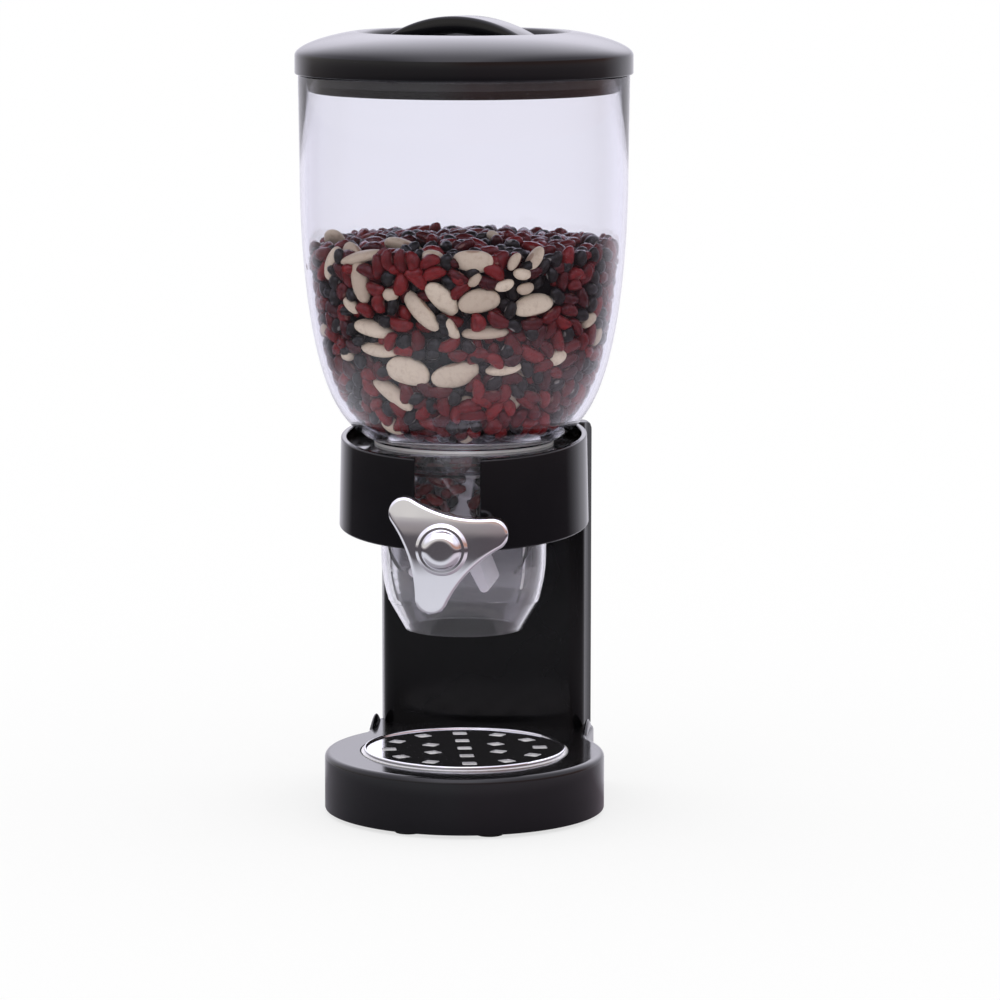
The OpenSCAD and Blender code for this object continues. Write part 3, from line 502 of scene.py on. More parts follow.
# a cup whose wall has a groove for the seal and a flange that lies on the bin's rim
def makePlug():
    size = plugSizes
    outR = rimR - binSizes["wall"] - size["gap"]
    flangeR = lidR - lidSizes["wall"] - size["flangeGap"]
    grooveR = outR - size["groove"]
    inR = outR - size["wall"]
    low = rimZ - size["depth"]
    top = wellZ - lidSizes["wall"]
    sealTop = rimZ - size["sealDrop"]
    sealLow = sealTop - size["sealH"]
    floorZ = low + size["floor"]
    edge = size["edge"]
    corners = [(0, low, 0), (outR - 3, low, 0), (outR, low, size["rimRound"]),
               (outR, sealLow, edge), (grooveR, sealLow, edge), (grooveR, sealTop, edge),
               (outR, sealTop, edge), (outR, rimZ, 0.2), (flangeR, rimZ, edge),
               (flangeR, top, edge), (inR, top, 0.4), (inR, floorZ, 1.0), (0, floorZ, 0)]
    obj = solid("lidPlug", (revolved(rounded(corners), 192), True, False, False))
    dress(obj, blackMatte, "black_matte", "lid", "lid_plug")


makeLid()
makePlug()
print("lid ready")


# bracketDrop is from the column's top down to the top of the ring's bracket
ringSizes = {"topR": 64.5, "bottomR": 65.5, "height": 47.0, "middle": 178.0, "slope": 5.0,
             "bore": 61.5, "seat": 192.0, "ledge": 4.0, "ledgeBore": 55.0, "slot": 34.0,
             "steps": 168, "bracketHalf": 30.0, "bracketH": 24.0, "bracketDrop": 14.6, "edge": 0.9}
columnLow, columnHigh = span("column_front")
backLow, backHigh = span("column_back")


# the ring as angle by section: its edges are planes that slope down to the front, its ends
# lie in the slot's two upright planes, so each radius has its own first angle
def ringGrid():
    size = ringSizes
    lean = math.radians(size["slope"])
    rise = size["height"] / 2 / math.cos(lean)
    spread = (size["bottomR"] - size["topR"]) / size["height"]
    outerR = (size["bottomR"] + size["topR"]) / 2
    bore, seat = size["bore"], size["seat"]
    under = seat - size["ledge"]
    # radius and a height's kind: +1 the upper edge, -1 the lower edge, otherwise a level
    section = [(outerR, share) for share in (-1, -0.6, -0.2, 0.2, 0.6, 1)]
    section += [(bore, 1), (bore, seat), (size["ledgeBore"], seat), (size["ledgeBore"], under),
                (bore, under), (bore, -1)]
    r, kind = np.array(section).T[:, None]
    start = np.arcsin(size["slot"] / 2 / r)
    share = np.linspace(0, 1, size["steps"])[:, None]
    angle = start + (2 * np.pi - 2 * start) * share
    z = np.where(np.abs(kind) <= 1,
                 size["middle"] + kind * rise - r * np.cos(angle) * math.tan(lean), kind)
    r = np.where(r == outerR, outerR + (size["middle"] - z) * spread, r)
    start = np.arcsin(size["slot"] / 2 / r)
    angle = np.where(share == 0, start, np.where(share == 1, 2 * np.pi - start, angle))
    return gridOf(r * np.sin(angle), -r * np.cos(angle), z)


# a box as a four-sided tube with filled ends
def block(low, high):
    x = np.array([low[0], high[0], high[0], low[0]])[None]
    y = np.array([low[1], low[1], high[1], high[1]])[None]
    return gridOf(x, y, np.array([low[2], high[2]])[:, None])


def makeRing():
    size = ringSizes
    half = size["bracketHalf"]
    top = columnHigh[2] - size["bracketDrop"]
    bracket = block((-half, math.sqrt(size["bore"] ** 2 - half ** 2), top - size["bracketH"]),
                    (half, columnLow[1], top))
    obj = solid("ringWall", (ringGrid(), False, True, True), (bracket, False, True, True))
    dress(obj, blackGloss, "black_gloss", "stand", "holder_ring", edge=size["edge"])


makeRing()
print("ring ready")


columnSizes = {"frontHalf": 53.0, "backHalf": 58.0, "edge": 8.0, "horn": 5.0, "hornIn": 8.0,
               "scoop": 12.0, "soft": 1.6, "slices": 121}


# height of the column's top at x: the horns' rounding outside, the scoop's arc between them
def columnTop(x):
    size = columnSizes
    top = columnHigh[2]
    half = size["backHalf"]
    horn = size["horn"]
    past = np.clip((np.abs(x) - (half - horn)) / horn, 0, 1)
    outer = top - horn + horn * np.sqrt(1 - past ** 2)
    scoopHalf = half - size["hornIn"]
    radius = (scoopHalf ** 2 + size["scoop"] ** 2) / (2 * size["scoop"])
    centre = top - size["scoop"] + radius
    inner = centre - np.sqrt(np.clip(radius ** 2 - x ** 2, 0, None))
    return np.minimum(outer, np.where(np.abs(x) < scoopHalf, inner, top))


# the column as slices across x: up the front, over the top and down the back
def columnGrid():
    size = columnSizes
    edge, soft = size["edge"], size["soft"]
    low, frontY, backY = columnLow[2], columnLow[1], columnHigh[1]
    slope = (size["backHalf"] - size["frontHalf"]) / (backHigh[1] - frontY)
    s = np.sin(np.linspace(-np.pi / 2, np.pi / 2, size["slices"]))[:, None]
    # front face in plan: flat, then a quarter round into the slanted side
    halfAt = size["frontHalf"] + slope * edge
    x = s * halfAt
    past = np.clip(np.abs(x) - (halfAt - edge), 0, edge)
    y = frontY + edge - np.sqrt(np.clip(edge ** 2 - past ** 2, 0, None))
    topZ = columnTop(x)
    rows = np.array([0.0, 0.25, 0.5, 0.75])[None, :]
    front = gridOf(x, y, low + (topZ - soft - low) * rows)
    turn = np.radians(np.array([0, 22, 45, 68, 90]))[None, :]
    lip = gridOf(x, y + soft * (1 - np.cos(turn)), topZ - soft + soft * np.sin(turn))
    depth = np.linspace(0, 1, 6)[None, 1:]
    endHalf = size["frontHalf"] + slope * (backY - frontY)
    overX = s * (halfAt + (endHalf - halfAt) * depth)
    over = gridOf(overX, y + soft + (backY - y - soft) * depth, columnTop(overX))
    down = gridOf(s * endHalf, backY, low)
    return np.concatenate([front, lip, over, down], axis=1)


def makeColumn():
    obj = solid("columnShell", (columnGrid(), False, True, True))
    dress(obj, blackSatin, "black_gloss", "stand", "column_front", edge=0.8, angle=50)


makeColumn()
print("column ready")


# margin is the flat strip beside an edge; the ears reach back along the column's sides
baseSizes = {"radius": 74.0, "centreY": 2.0, "tailHalf": 60.0, "corner": 7.0, "edge": 3.0,
             "footEdge": 0.6, "recess": 55.1, "recessEdge": 0.4, "margin": 0.8, "bore": 52.4,
             "plate": 3.6, "wall": 2.6, "tray": 1.2, "earT": 2.6, "earH": 5.4, "earSink": 2.0,
             "earReach": 22.0, "earLength": 29.92}
baseLow, baseHigh = span("base_shell")
baseTop = columnLow[2]


# the base seen from above, anticlockwise: the round front, then the tail with round corners
def basePlan():
    size = baseSizes
    back = baseHigh[1]
    meet = math.degrees(math.acos(size["tailHalf"] / size["radius"]))
    corner = size["corner"]
    front = arc(0, size["centreY"], size["radius"], 180 - meet, 360 + meet, 150)
    sideX = size["tailHalf"]
    sideY = np.linspace(front[-1, 1], back - corner, 9)[1:-1]
    right = np.stack([np.full(7, sideX), sideY], axis=1)
    left = np.stack([np.full(7, -sideX), sideY[::-1]], axis=1)
    rightCorner = arc(sideX - corner, back - corner, corner, 0, 90, 9)
    leftCorner = arc(corner - sideX, back - corner, corner, 90, 180, 9)
    middle = np.linspace(sideX - corner, corner - sideX, 20)[1:-1]
    rear = np.stack([middle, np.full(18, back)], axis=1)
    return np.concatenate([front, right, rightCorner, rear, leftCorner, left])


# the base housing as plan by height: a wall, a rounded upper edge, the top plate and the
# tray's seat
def baseGrid():
    size = baseSizes
    plan = basePlan()
    normal = outlineNormals(plan)
    centre = np.array([0, size["centreY"]])
    ray = plan - centre
    ray /= np.linalg.norm(ray, axis=1)[:, None]
    low = baseLow[2]
    seat = baseTop - size["tray"]
    foot, edge, lip = size["footEdge"], size["edge"], size["recessEdge"]
    rows = []

    def ring(inset, z):
        rows.append(np.column_stack([plan - normal * inset, np.full(len(plan), z)]))

    def hole(radius, z):
        rows.append(np.column_stack([centre + ray * radius, np.full(len(plan), z)]))

    ring(size["wall"], low)
    ring(foot, low)
    ring(foot / 4, low + foot / 4)
    for share in (0, 0.5, 1):
        ring(0, low + foot + (baseTop - edge - low - foot) * share)
    for turn in np.radians([15, 30, 45, 60, 75, 90]):
        ring(edge * (1 - math.cos(turn)), baseTop - edge * (1 - math.sin(turn)))
    ring(edge + size["margin"], baseTop)
    hole(size["recess"] + size["margin"], baseTop)
    hole(size["recess"] + lip, baseTop)
    hole(size["recess"] + lip * 0.3, baseTop - lip * 0.3)
    hole(size["recess"], baseTop - lip)
    hole(size["recess"], seat)
    hole(size["bore"], seat)
    hole(size["bore"], baseTop - size["plate"])
    ring(size["wall"], baseTop - size["plate"])
    return np.stack(rows, axis=1)


# an ear: a fin along y whose height is sin(pi along ^ 1.35) ^ 0.8 and whose section is a half
# oval; along runs from 0 to 1
def earGrid(side):
    size = baseSizes
    x = side * (size["tailHalf"] - size["earT"] / 2 - size["edge"] / 5)
    along = np.linspace(0, 1, 49)[:, None]
    y = columnLow[1] - size["earReach"] + along * size["earLength"]
    hump = np.sin(np.pi * along ** 1.35) ** 0.8
    turn = np.linspace(-np.pi / 2, np.pi / 2, 15)[None, :]
    bulge = np.power(np.abs(np.cos(turn)), 0.45)
    z = baseTop - size["earSink"] + hump * (size["earH"] + size["earSink"]) * bulge
    wide = size["earT"] / 2 * np.sin(turn) * np.minimum(1, hump * 3)
    return gridOf(x + wide, y, z)


def makeBase():
    obj = solid("baseShell", (baseGrid(), True, True, False), (earGrid(1), False, True, False),
                (earGrid(-1), False, True, False))
    dress(obj, blackGloss, "black_gloss", "stand", "base_shell")


makeBase()
print("base ready")


knobSizes = {"lobes": 3, "lobeAt": 26.4, "lobeR": 8.4, "valley": 18.0, "turn": 17.3,
             "thick": 10.0, "soft": 1.6, "dome": 2.8, "hub": 13.5, "hubRise": 1.6,
             "hubSlant": 1.6, "bore": 4.2, "collar": 9.0, "steps": 96}
axleZ = (span("drive_shaft")[0][2] + span("drive_shaft")[1][2]) / 2
knobLow, knobHigh = span("knob")
knobFront = knobLow[1] + knobSizes["hubRise"]


# the knob's outline: round lobes joined by hollow flanks that touch them
def knobOutline():
    size = knobSizes
    at = size["lobeAt"]
    lobe = size["lobeR"]
    half = math.pi / size["lobes"]
    valley = size["valley"]
    far = (at ** 2 - (lobe - valley) ** 2) / (2 * (at * math.cos(half) - valley + lobe))
    flank = far - valley
    # half the lobe's arc, to where the flank touches it, and half the flank's arc
    reach = math.degrees(math.pi + math.atan2(-far * math.sin(half), at - far * math.cos(half)))
    hollow = reach - math.degrees(half)
    points = []
    for k in range(size["lobes"]):
        middle = 2 * half * k
        lobeArc = arc(at, 0, lobe, -reach, reach, 40)
        flankArc = arc(far, 0, flank, 180 + hollow, 180 - hollow, 26)[1:-1]
        for part, angle in ((lobeArc, middle), (flankArc, middle + half)):
            c, s = math.cos(angle), math.sin(angle)
            points.append(part @ np.array([[c, s], [-s, c]]))
    c, s = math.cos(math.radians(size["turn"])), math.sin(math.radians(size["turn"]))
    return np.concatenate(points) @ np.array([[c, s], [-s, c]])


# a plate with that outline: crowned in front by dome times (distance / reach) squared, with soft
# edges; it runs from the front's middle over the edge to the back's middle
def knobGrid():
    size = knobSizes
    outline = knobOutline()
    normal = outlineNormals(outline)
    soft = size["soft"]
    back = knobFront + size["thick"]
    reach = size["lobeAt"] + size["lobeR"]
    rows = []

    def crown(flat):
        return size["dome"] * (flat ** 2).sum(axis=1) / reach ** 2

    def put(flat, y):
        # drawn with x to the right and up as seen from the front
        rows.append(np.column_stack([flat[:, 0], y + np.zeros(len(flat)), axleZ + flat[:, 1]]))

    inner = outline - normal * soft
    for share in np.linspace(0, 1, 15):
        put(inner * share, knobFront + crown(inner * share))
    for turn in np.radians([18, 36, 54, 72, 90]):
        put(outline - normal * soft * (1 - math.sin(turn)),
            knobFront + crown(inner) + soft * (1 - math.cos(turn)))
    for turn in np.radians([0, 30, 60, 90]):
        put(outline - normal * soft * (1 - math.cos(turn)), back - soft * (1 - math.sin(turn)))
    put(inner * 0.5, back)
    put(inner * 0.0, back)
    return np.stack(rows, axis=1)


# turns a profile (radius, y) round the shaft
def alongShaft(profile):
    grid = revolved(profile, knobSizes["steps"])
    return gridOf(grid[:, :, 0], grid[:, :, 2], grid[:, :, 1] + axleZ)


def makeKnob():
    size = knobSizes
    hub = [(0, knobFront + 2, 0), (size["hub"], knobFront + 2, 0),
           (size["hub"], knobFront - size["hubRise"] * 0.4, 0.8),
           (size["hub"] - size["hubSlant"], knobLow[1], 0.7), (0, knobLow[1], 0)]
    back = knobFront + size["thick"]
    collar = [(0, back - 1, 0), (size["collar"], back - 1, 0), (size["collar"], knobHigh[1], 0.5),
              (size["bore"], knobHigh[1], 0.3), (size["bore"], knobHigh[1] - 1, 0),
              (0, knobHigh[1] - 1, 0)]
    obj = solid("knobPlate", (knobGrid(), True, False, False),
                (alongShaft(rounded(hub)), True, False, False),
                (alongShaft(rounded(collar)), True, False, False))
    dress(obj, chrome, "knob_chrome", "rotor", "knob")


# the cap's crown: height times (1 - (r / radius) ^ 7), flat in the middle and round at its rim
def makeCap():
    low, high = span("knob_cap")
    radius = (high[0] - low[0]) / 2
    height = high[1] - low[1]
    share = np.sin(np.linspace(0, np.pi / 2, 28))
    profile = np.stack([radius * share, high[1] - height * (1 - share ** 7)], axis=1)
    profile = np.concatenate([profile, [[radius - 0.5, high[1]], [0, high[1]]]])
    obj = solid("knobCap", (alongShaft(profile), True, False, False))
    dress(obj, chrome, "knob_chrome", "rotor", "knob_cap")


makeKnob()
makeCap()
print("knob ready")


paddleSizes = {"blades": 5, "turn": 7.0, "tipR": 34.5, "tip": 5.0, "tipRound": 2.4,
               "rootAt": 11.22, "root": 8.0, "rootRound": 0.8, "hub": 11.0, "hubRound": 0.6,
               "core": 8.6, "coreEdge": 9.8, "soft": 0.7}


# the wheel's outline: tapered blades with round tips and filleted roots
def paddleOutline():
    size = paddleSizes
    count = size["blades"]
    step = 2 * math.pi / count
    corners = []
    for k in range(count):
        angle = math.radians(size["turn"]) + k * step
        c, s = math.cos(angle), math.sin(angle)
        turn = np.array([[c, s], [-s, c]])
        foot = size["rootAt"]
        flat = np.array([(foot, -size["root"] / 2), (size["tipR"], -size["tip"] / 2),
                         (size["tipR"], size["tip"] / 2), (foot, size["root"] / 2)]) @ turn
        soft = [size["rootRound"], size["tipRound"], size["tipRound"], size["rootRound"]]
        corners += [(x, y, r) for (x, y), r in zip(flat, soft)]
        gap = angle + step / 2
        corners.append((size["hub"] * math.cos(gap), size["hub"] * math.sin(gap),
                        size["hubRound"]))
    return rounded(corners, 7)


def makePaddle():
    size = paddleSizes
    outline = paddleOutline()
    normal = outlineNormals(outline)
    low, high = span("paddle_blades")
    ray = outline / np.linalg.norm(outline, axis=1)[:, None]
    soft = size["soft"]
    rows = []

    def put(flat, y):
        rows.append(np.column_stack([flat[:, 0], np.full(len(flat), y), axleZ + flat[:, 1]]))

    put(ray * size["core"], low[1])
    put(ray * size["coreEdge"], low[1])
    for turn in np.radians([0, 30, 60, 90]):
        put(outline - normal * soft * (1 - math.sin(turn)), low[1] + soft * (1 - math.cos(turn)))
    for turn in np.radians([0, 30, 60, 90]):
        put(outline - normal * soft * (1 - math.cos(turn)), high[1] - soft * (1 - math.sin(turn)))
    put(ray * size["coreEdge"], high[1])
    put(ray * size["core"], high[1])
    obj = solid("paddleBlades", (np.stack(rows, axis=1), True, True, False))
    dress(obj, silicone, "pale_silicone", "rotor", "paddle_blades")


makePaddle()
print("paddle ready")


# the shift only sets the object left of the middle and a little high, as it was framed
cameraSizes = {"distance": 2321.0, "height": 506.0, "azimuth": 8.0, "pitch": 7.43,
               "lens": 160.57, "sensor": 36, "shift": (0.036, -0.07), "farthest": 200}

# length, width, thickness, bend, share and steps along and round each kind of bean
beanKinds = {
    "red": {"size": (12.6, 7.3, 6.5), "bend": 0.26, "share": 0.58, "steps": (7, 8),
            "skin": redSkin},
    "black": {"size": (9.0, 6.7, 6.1), "bend": 0.12, "share": 0.38, "steps": (7, 8),
              "skin": blackSkin},
    "cream": {"size": (22.0, 14.5, 7.6), "bend": 0.08, "share": 0.015, "steps": (13, 16),
              "skin": creamSkin},
    "small": {"size": (10.5, 6.8, 6.0), "bend": 0.15, "share": 0.025, "steps": (7, 8),
              "skin": creamSkin},
}
# the big pale beans against the front wall: to the right, height, length, width and slant
frontBeans = [
    (4.7, 300, 20.5, 13.3, 0), (-67, 294.5, 14.6, 10.0, 65), (-53.5, 305, 21, 6.6, 12),
    (-52.5, 286.8, 18, 10.2, 100), (-22.4, 272.9, 22.6, 9.7, -45), (-11.2, 279.5, 17.1, 12.1, -50),
    (7.7, 278.3, 21.4, 13.3, 8), (35.2, 275.4, 21, 11.3, 10), (-47.1, 261.8, 21, 8.5, -10),
    (-43.4, 251, 20.5, 6.9, -5), (11.1, 261.5, 24.2, 6.5, 2), (-28.5, 240.7, 22.7, 15.8, -10),
    (-4.4, 239.1, 24.7, 15, 12), (20.5, 242, 19, 6.5, 8), (-36.2, 227.4, 21.2, 9, -35),
    (20, 286.6, 10.1, 6, 15), (30.6, 284.6, 9.3, 6.1, 10), (29.1, 292.2, 9.7, 6.1, -5),
    (5.3, 289.5, 7.2, 5.2, 45), (47.1, 247.1, 10.2, 8.5, 20), (-36.8, 281.1, 8.1, 6.9, 0),
    (-56.6, 274, 9.6, 6.1, -30), (24.8, 299, 7.7, 5.2, 60), (36, 300, 12.1, 5.3, 55),
    (-35.1, 208, 12.3, 7.8, -30),
]
# heap is the height of the beans' top, hump how much higher its middle is; the wall has two
# layers, each with its depth and the share of the wall that it covers
beanLayers = {"heap": 298.5, "hump": 6.5, "heapStep": 6.0, "heapFill": 0.75, "heapRise": 1.2,
              "depths": (0.6, 5.2), "fill": (0.97, 0.75), "wallTilt": 0.12, "tilt": 0.3,
              "neckR": 31.0, "neckFill": 0.85, "neckStep": 6.2, "neckRise": 0.8, "clear": 2.2,
              "coreGap": 10.0, "coreDrop": 7.5, "coreLean": 1.5, "flat": 7.5,
              "pocketTurns": (43.0, 115.0), "pocketSpread": 24.0, "pocketR": (14.0, 30.0),
              "pocketHalf": 24.0, "pocketCount": 120, "pocketGap": 5.7, "pocketSize": 0.44}
rng = np.random.default_rng(23)


# one bean of unit half sizes: rings of points along it, bent sideways by the square of the way
# out from the middle
def beanShape(bend, steps):
    along = np.sin(np.linspace(-np.pi / 2, np.pi / 2, steps[0]))[:, None]
    turn = np.linspace(0, 2 * np.pi, steps[1], endpoint=False)[None, :]
    girth = np.power(np.clip(1 - along ** 2, 0, 1), 0.44)
    y = girth * np.cos(turn) - bend * along ** 2 * 1.6 + bend * 0.6
    z = girth * np.sin(turn)
    return gridOf(along, y, z)


# a joined mesh of beans: each has a place, three axes of its own and its three half sizes
def beanMesh(name, kind, places, axes, halves, tones):
    shape = beanShape(kind["bend"], kind["steps"])
    rings, around = shape.shape[:2]
    flat = shape.reshape(-1, 3)
    points = np.einsum("pk,nk,nkd->npd", flat, halves, axes) + places[:, None]
    index = np.arange(rings * around).reshape(rings, around)
    ahead = np.roll(index, -1, axis=1)
    quads = np.stack([index[:-1], ahead[:-1], ahead[1:], index[1:]], axis=2).reshape(-1, 4)
    count = len(places)
    faces = (quads[None] + (np.arange(count) * rings * around)[:, None, None]).reshape(-1, 4)
    mesh = bpy.data.meshes.new(name)
    mesh.from_pydata((points.reshape(-1, 3) * mm).tolist(), [], faces.tolist())
    tone = mesh.attributes.new("tone", "FLOAT", "POINT")
    tone.data.foreach_set("value", np.repeat(tones, rings * around).astype(np.float32))
    local = mesh.attributes.new("local", "FLOAT_VECTOR", "POINT")
    local.data.foreach_set("vector", np.tile(flat, (count, 1)).astype(np.float32).ravel())
    work = bmesh.new()
    work.from_mesh(mesh)
    bmesh.ops.remove_doubles(work, verts=work.verts, dist=1e-6)
    bmesh.ops.recalc_face_normals(work, faces=work.faces)
    work.to_mesh(mesh)
    work.free()
    mesh.polygons.foreach_set("use_smooth", np.ones(len(mesh.polygons), bool))
    obj = bpy.data.objects.new(name, mesh)
    bpy.context.scene.collection.objects.link(obj)
    return obj


# pairs of discs that are closer than the sum of their radii and belong to different beans
def closePairs(discs, radii, owner, slack):
    near = []
    for start in range(0, len(discs), 800):
        some = discs[start:start + 800]
        gap = np.linalg.norm(some[:, None] - discs[None], axis=2)
        hit = gap < radii[start:start + 800, None] + radii[None] + slack
        a, b = np.nonzero(hit)
        a += start
        keep = (a < b) & (owner[a] != owner[b])
        near.append(np.stack([a[keep], b[keep]], axis=1))
    return np.concatenate(near)


# how beans push each other: rounds in all and rounds between looks for close pairs, slack of that
# look, share of the radii at which discs touch, and the strength of push and turn
pushSizes = {"rounds": 70, "look": 10, "slack": 3.0, "touch": 0.97, "push": 0.24, "turn": 0.8,
             "mostTurn": 0.2}


# spreads beans over a surface so that they hardly overlap: every bean is three discs on its long
# axis, discs that overlap push their beans apart and turn them, and the beans slide along the
# surface; the first beans, as many as fixed says, stay where they are
def relax(start, angle, sizes, onSurface, fixed=0):
    size = pushSizes
    radii = sizes[:, 1] / 2
    arm = (sizes[:, 0] - sizes[:, 1]) / 2
    place = start.copy()
    free = (np.arange(len(sizes)) >= fixed).astype(float)
    offsets = np.array([-1.0, 0.0, 1.0])
    owner = np.repeat(np.arange(len(sizes)), 3)
    wide = np.repeat(radii, 3)
    for step in range(size["rounds"]):
        point, along, across = onSurface(place)
        axis = np.cos(angle)[:, None] * along + np.sin(angle)[:, None] * across
        side = np.cos(angle)[:, None] * across - np.sin(angle)[:, None] * along
        spread = offsets[None, :, None] * arm[:, None, None] * axis[:, None]
        discs = (point[:, None] + spread).reshape(-1, 3)
        if step % size["look"] == 0:
            pairs = closePairs(discs, wide, owner, size["slack"])
        a, b = pairs[:, 0], pairs[:, 1]
        apart = discs[a] - discs[b]
        gap = np.linalg.norm(apart, axis=1) + 1e-6
        overlap = np.clip((wide[a] + wide[b]) * size["touch"] - gap, 0, None)
        push = apart * (overlap / gap * size["push"])[:, None]
        force = np.zeros_like(discs)
        np.add.at(force, a, push)
        np.add.at(force, b, -push)
        force = force.reshape(-1, 3, 3) * free[:, None, None]
        shift = force.sum(axis=1)
        twist = np.einsum("nkd,nd,k->n", force, side, offsets)
        place[:, 0] += np.einsum("nd,nd->n", shift, along)
        place[:, 1] += np.einsum("nd,nd->n", shift, across)
        twist = twist / np.maximum(arm, 1.0) * size["turn"]
        angle = angle + np.clip(twist, -size["mostTurn"], size["mostTurn"])
        place = onSurface(place, clamp=True)
    point, along, across = onSurface(place)
    axis = np.cos(angle)[:, None] * along + np.sin(angle)[:, None] * across
    return point, axis, np.cross(along, across)


# draws kinds at random by their shares until their footprints fill the area wanted
def drawKinds(area, large=True):
    names = [name for name in beanKinds if large or name != "cream"]
    shares = np.array([beanKinds[name]["share"] for name in names])
    shares = shares / shares.sum()
    sizes = np.array([beanKinds[name]["size"] for name in names])
    foot = sizes[:, 0] * sizes[:, 1] * 0.8
    count = int(area / (shares @ foot))
    return [names[k] for k in rng.choice(len(names), size=count, p=shares)]


def sizesOf(kinds):
    sizes = np.array([beanKinds[kind]["size"] for kind in kinds])
    return sizes * rng.normal(1, 0.07, sizes.shape)


# the bowl's inner wall as a surface: place is (length along the profile, length round it at the
# bowl's full radius), moved inwards by depth
def wallSurface(depth, top):
    profile = innerProfile(200)
    profile = np.concatenate([profile, [[innerR, top]]]) if top > profile[-1, 1] else profile
    profile = profile[profile[:, 1] <= max(top, profile[0, 1] + 1)]
    tangent = np.gradient(profile, axis=0)
    tangent /= np.linalg.norm(tangent, axis=1)[:, None]
    inward = np.stack([-tangent[:, 1], tangent[:, 0]], axis=1)
    moved = profile + inward * depth
    run = np.concatenate([[0], np.cumsum(np.linalg.norm(np.diff(moved, axis=0), axis=1))])
    full = innerR - depth

    def onSurface(place, clamp=False):
        if clamp:
            return np.stack([np.clip(place[:, 0], 0, run[-1]), place[:, 1]], axis=1)
        r = np.interp(place[:, 0], run, moved[:, 0])
        z = np.interp(place[:, 0], run, moved[:, 1])
        turn = place[:, 1] / full
        dr = np.interp(place[:, 0], run, tangent[:, 0])
        dz = np.interp(place[:, 0], run, tangent[:, 1])
        point = np.stack([r * np.cos(turn), r * np.sin(turn), z], axis=1)
        along = np.stack([dr * np.cos(turn), dr * np.sin(turn), dz], axis=1)
        across = np.stack([-np.sin(turn), np.cos(turn), np.zeros_like(turn)], axis=1)
        return point, along, across

    return onSurface, run, moved, full


# a level disc as a surface: place is (x, y), kept inside the radius
def discSurface(level, radius):
    def onSurface(place, clamp=False):
        if clamp:
            away = np.linalg.norm(place, axis=1)
            return place * np.minimum(1, radius / np.maximum(away, 1e-6))[:, None]
        count = len(place)
        along = np.tile([1.0, 0.0, 0.0], (count, 1))
        across = np.tile([0.0, 1.0, 0.0], (count, 1))
        return np.column_stack([place, np.full(count, level)]), along, across

    return onSurface


# turns a bean's axis out of the surface by a random tilt and gives its three axes
def framed(axis, normal, tilt):
    lean = rng.normal(0, tilt, len(axis))[:, None]
    x = axis * np.cos(lean) + normal * np.sin(lean)
    roll = rng.normal(0, tilt * 1.6, len(axis))[:, None]
    roll = roll + np.pi * rng.integers(0, 2, (len(axis), 1))
    z = normal * np.cos(lean) - axis * np.sin(lean)
    y = np.cross(z, x)
    c, s = np.cos(roll), np.sin(roll)
    return np.stack([x, y * c + z * s, z * c - y * s], axis=1)


beanStore = {name: [] for name in beanKinds}


# how far an ellipsoid reaches along a direction: the root of the sum of its squared shares
def reachOf(axes, halves, direction):
    return np.sqrt((np.einsum("nkd,nd->nk", axes, direction) ** 2 * halves ** 2).sum(axis=1))


# keeps the beans of one layer; seated ones are moved off the wall, each by its own reach
def storeLayer(kinds, sizes, point, axis, normal, tilt, seated):
    axes = framed(axis, normal, tilt)
    halves = sizes / 2
    if seated:
        sag = halves[:, 0] ** 2 / (2 * innerR)
        point = point + normal * (reachOf(axes, halves, normal) + sag)[:, None]
    for name in beanKinds:
        chosen = np.array([kind == name for kind in kinds])
        if chosen.any():
            beanStore[name].append((point[chosen], axes[chosen], halves[chosen]))


# where the big front beans lie on the wall, as seen by the camera: sideways distance and height
def placeFront(run, moved, full):
    rows = np.array(frontBeans, float)
    along = np.interp(rows[:, 1], moved[:, 1], run)
    r = np.interp(along, run, moved[:, 0]) - beanLayers["flat"] / 2
    aside = np.arcsin(np.clip(rows[:, 0] / r, -1, 1))
    turn = -np.pi / 2 + math.radians(cameraSizes["azimuth"]) + aside
    start = np.stack([along, turn * full], axis=1)
    # a slant in the picture is an angle from level; the surface's first axis runs upwards
    angle = np.pi / 2 - np.radians(rows[:, 4])
    shown = np.cos(aside) * np.abs(np.cos(np.radians(rows[:, 4])))
    long = rows[:, 2] / np.maximum(shown, 0.6) ** 0.5
    # a narrow bean is seen edge on and goes deeper, a short one is as thick as it is wide
    thick = np.where(rows[:, 3] < 9, 11.0, beanLayers["flat"])
    thick = np.where(long < 14, rows[:, 3], thick)
    sizes = np.stack([long, rows[:, 3], thick], axis=1)
    return start, angle, sizes


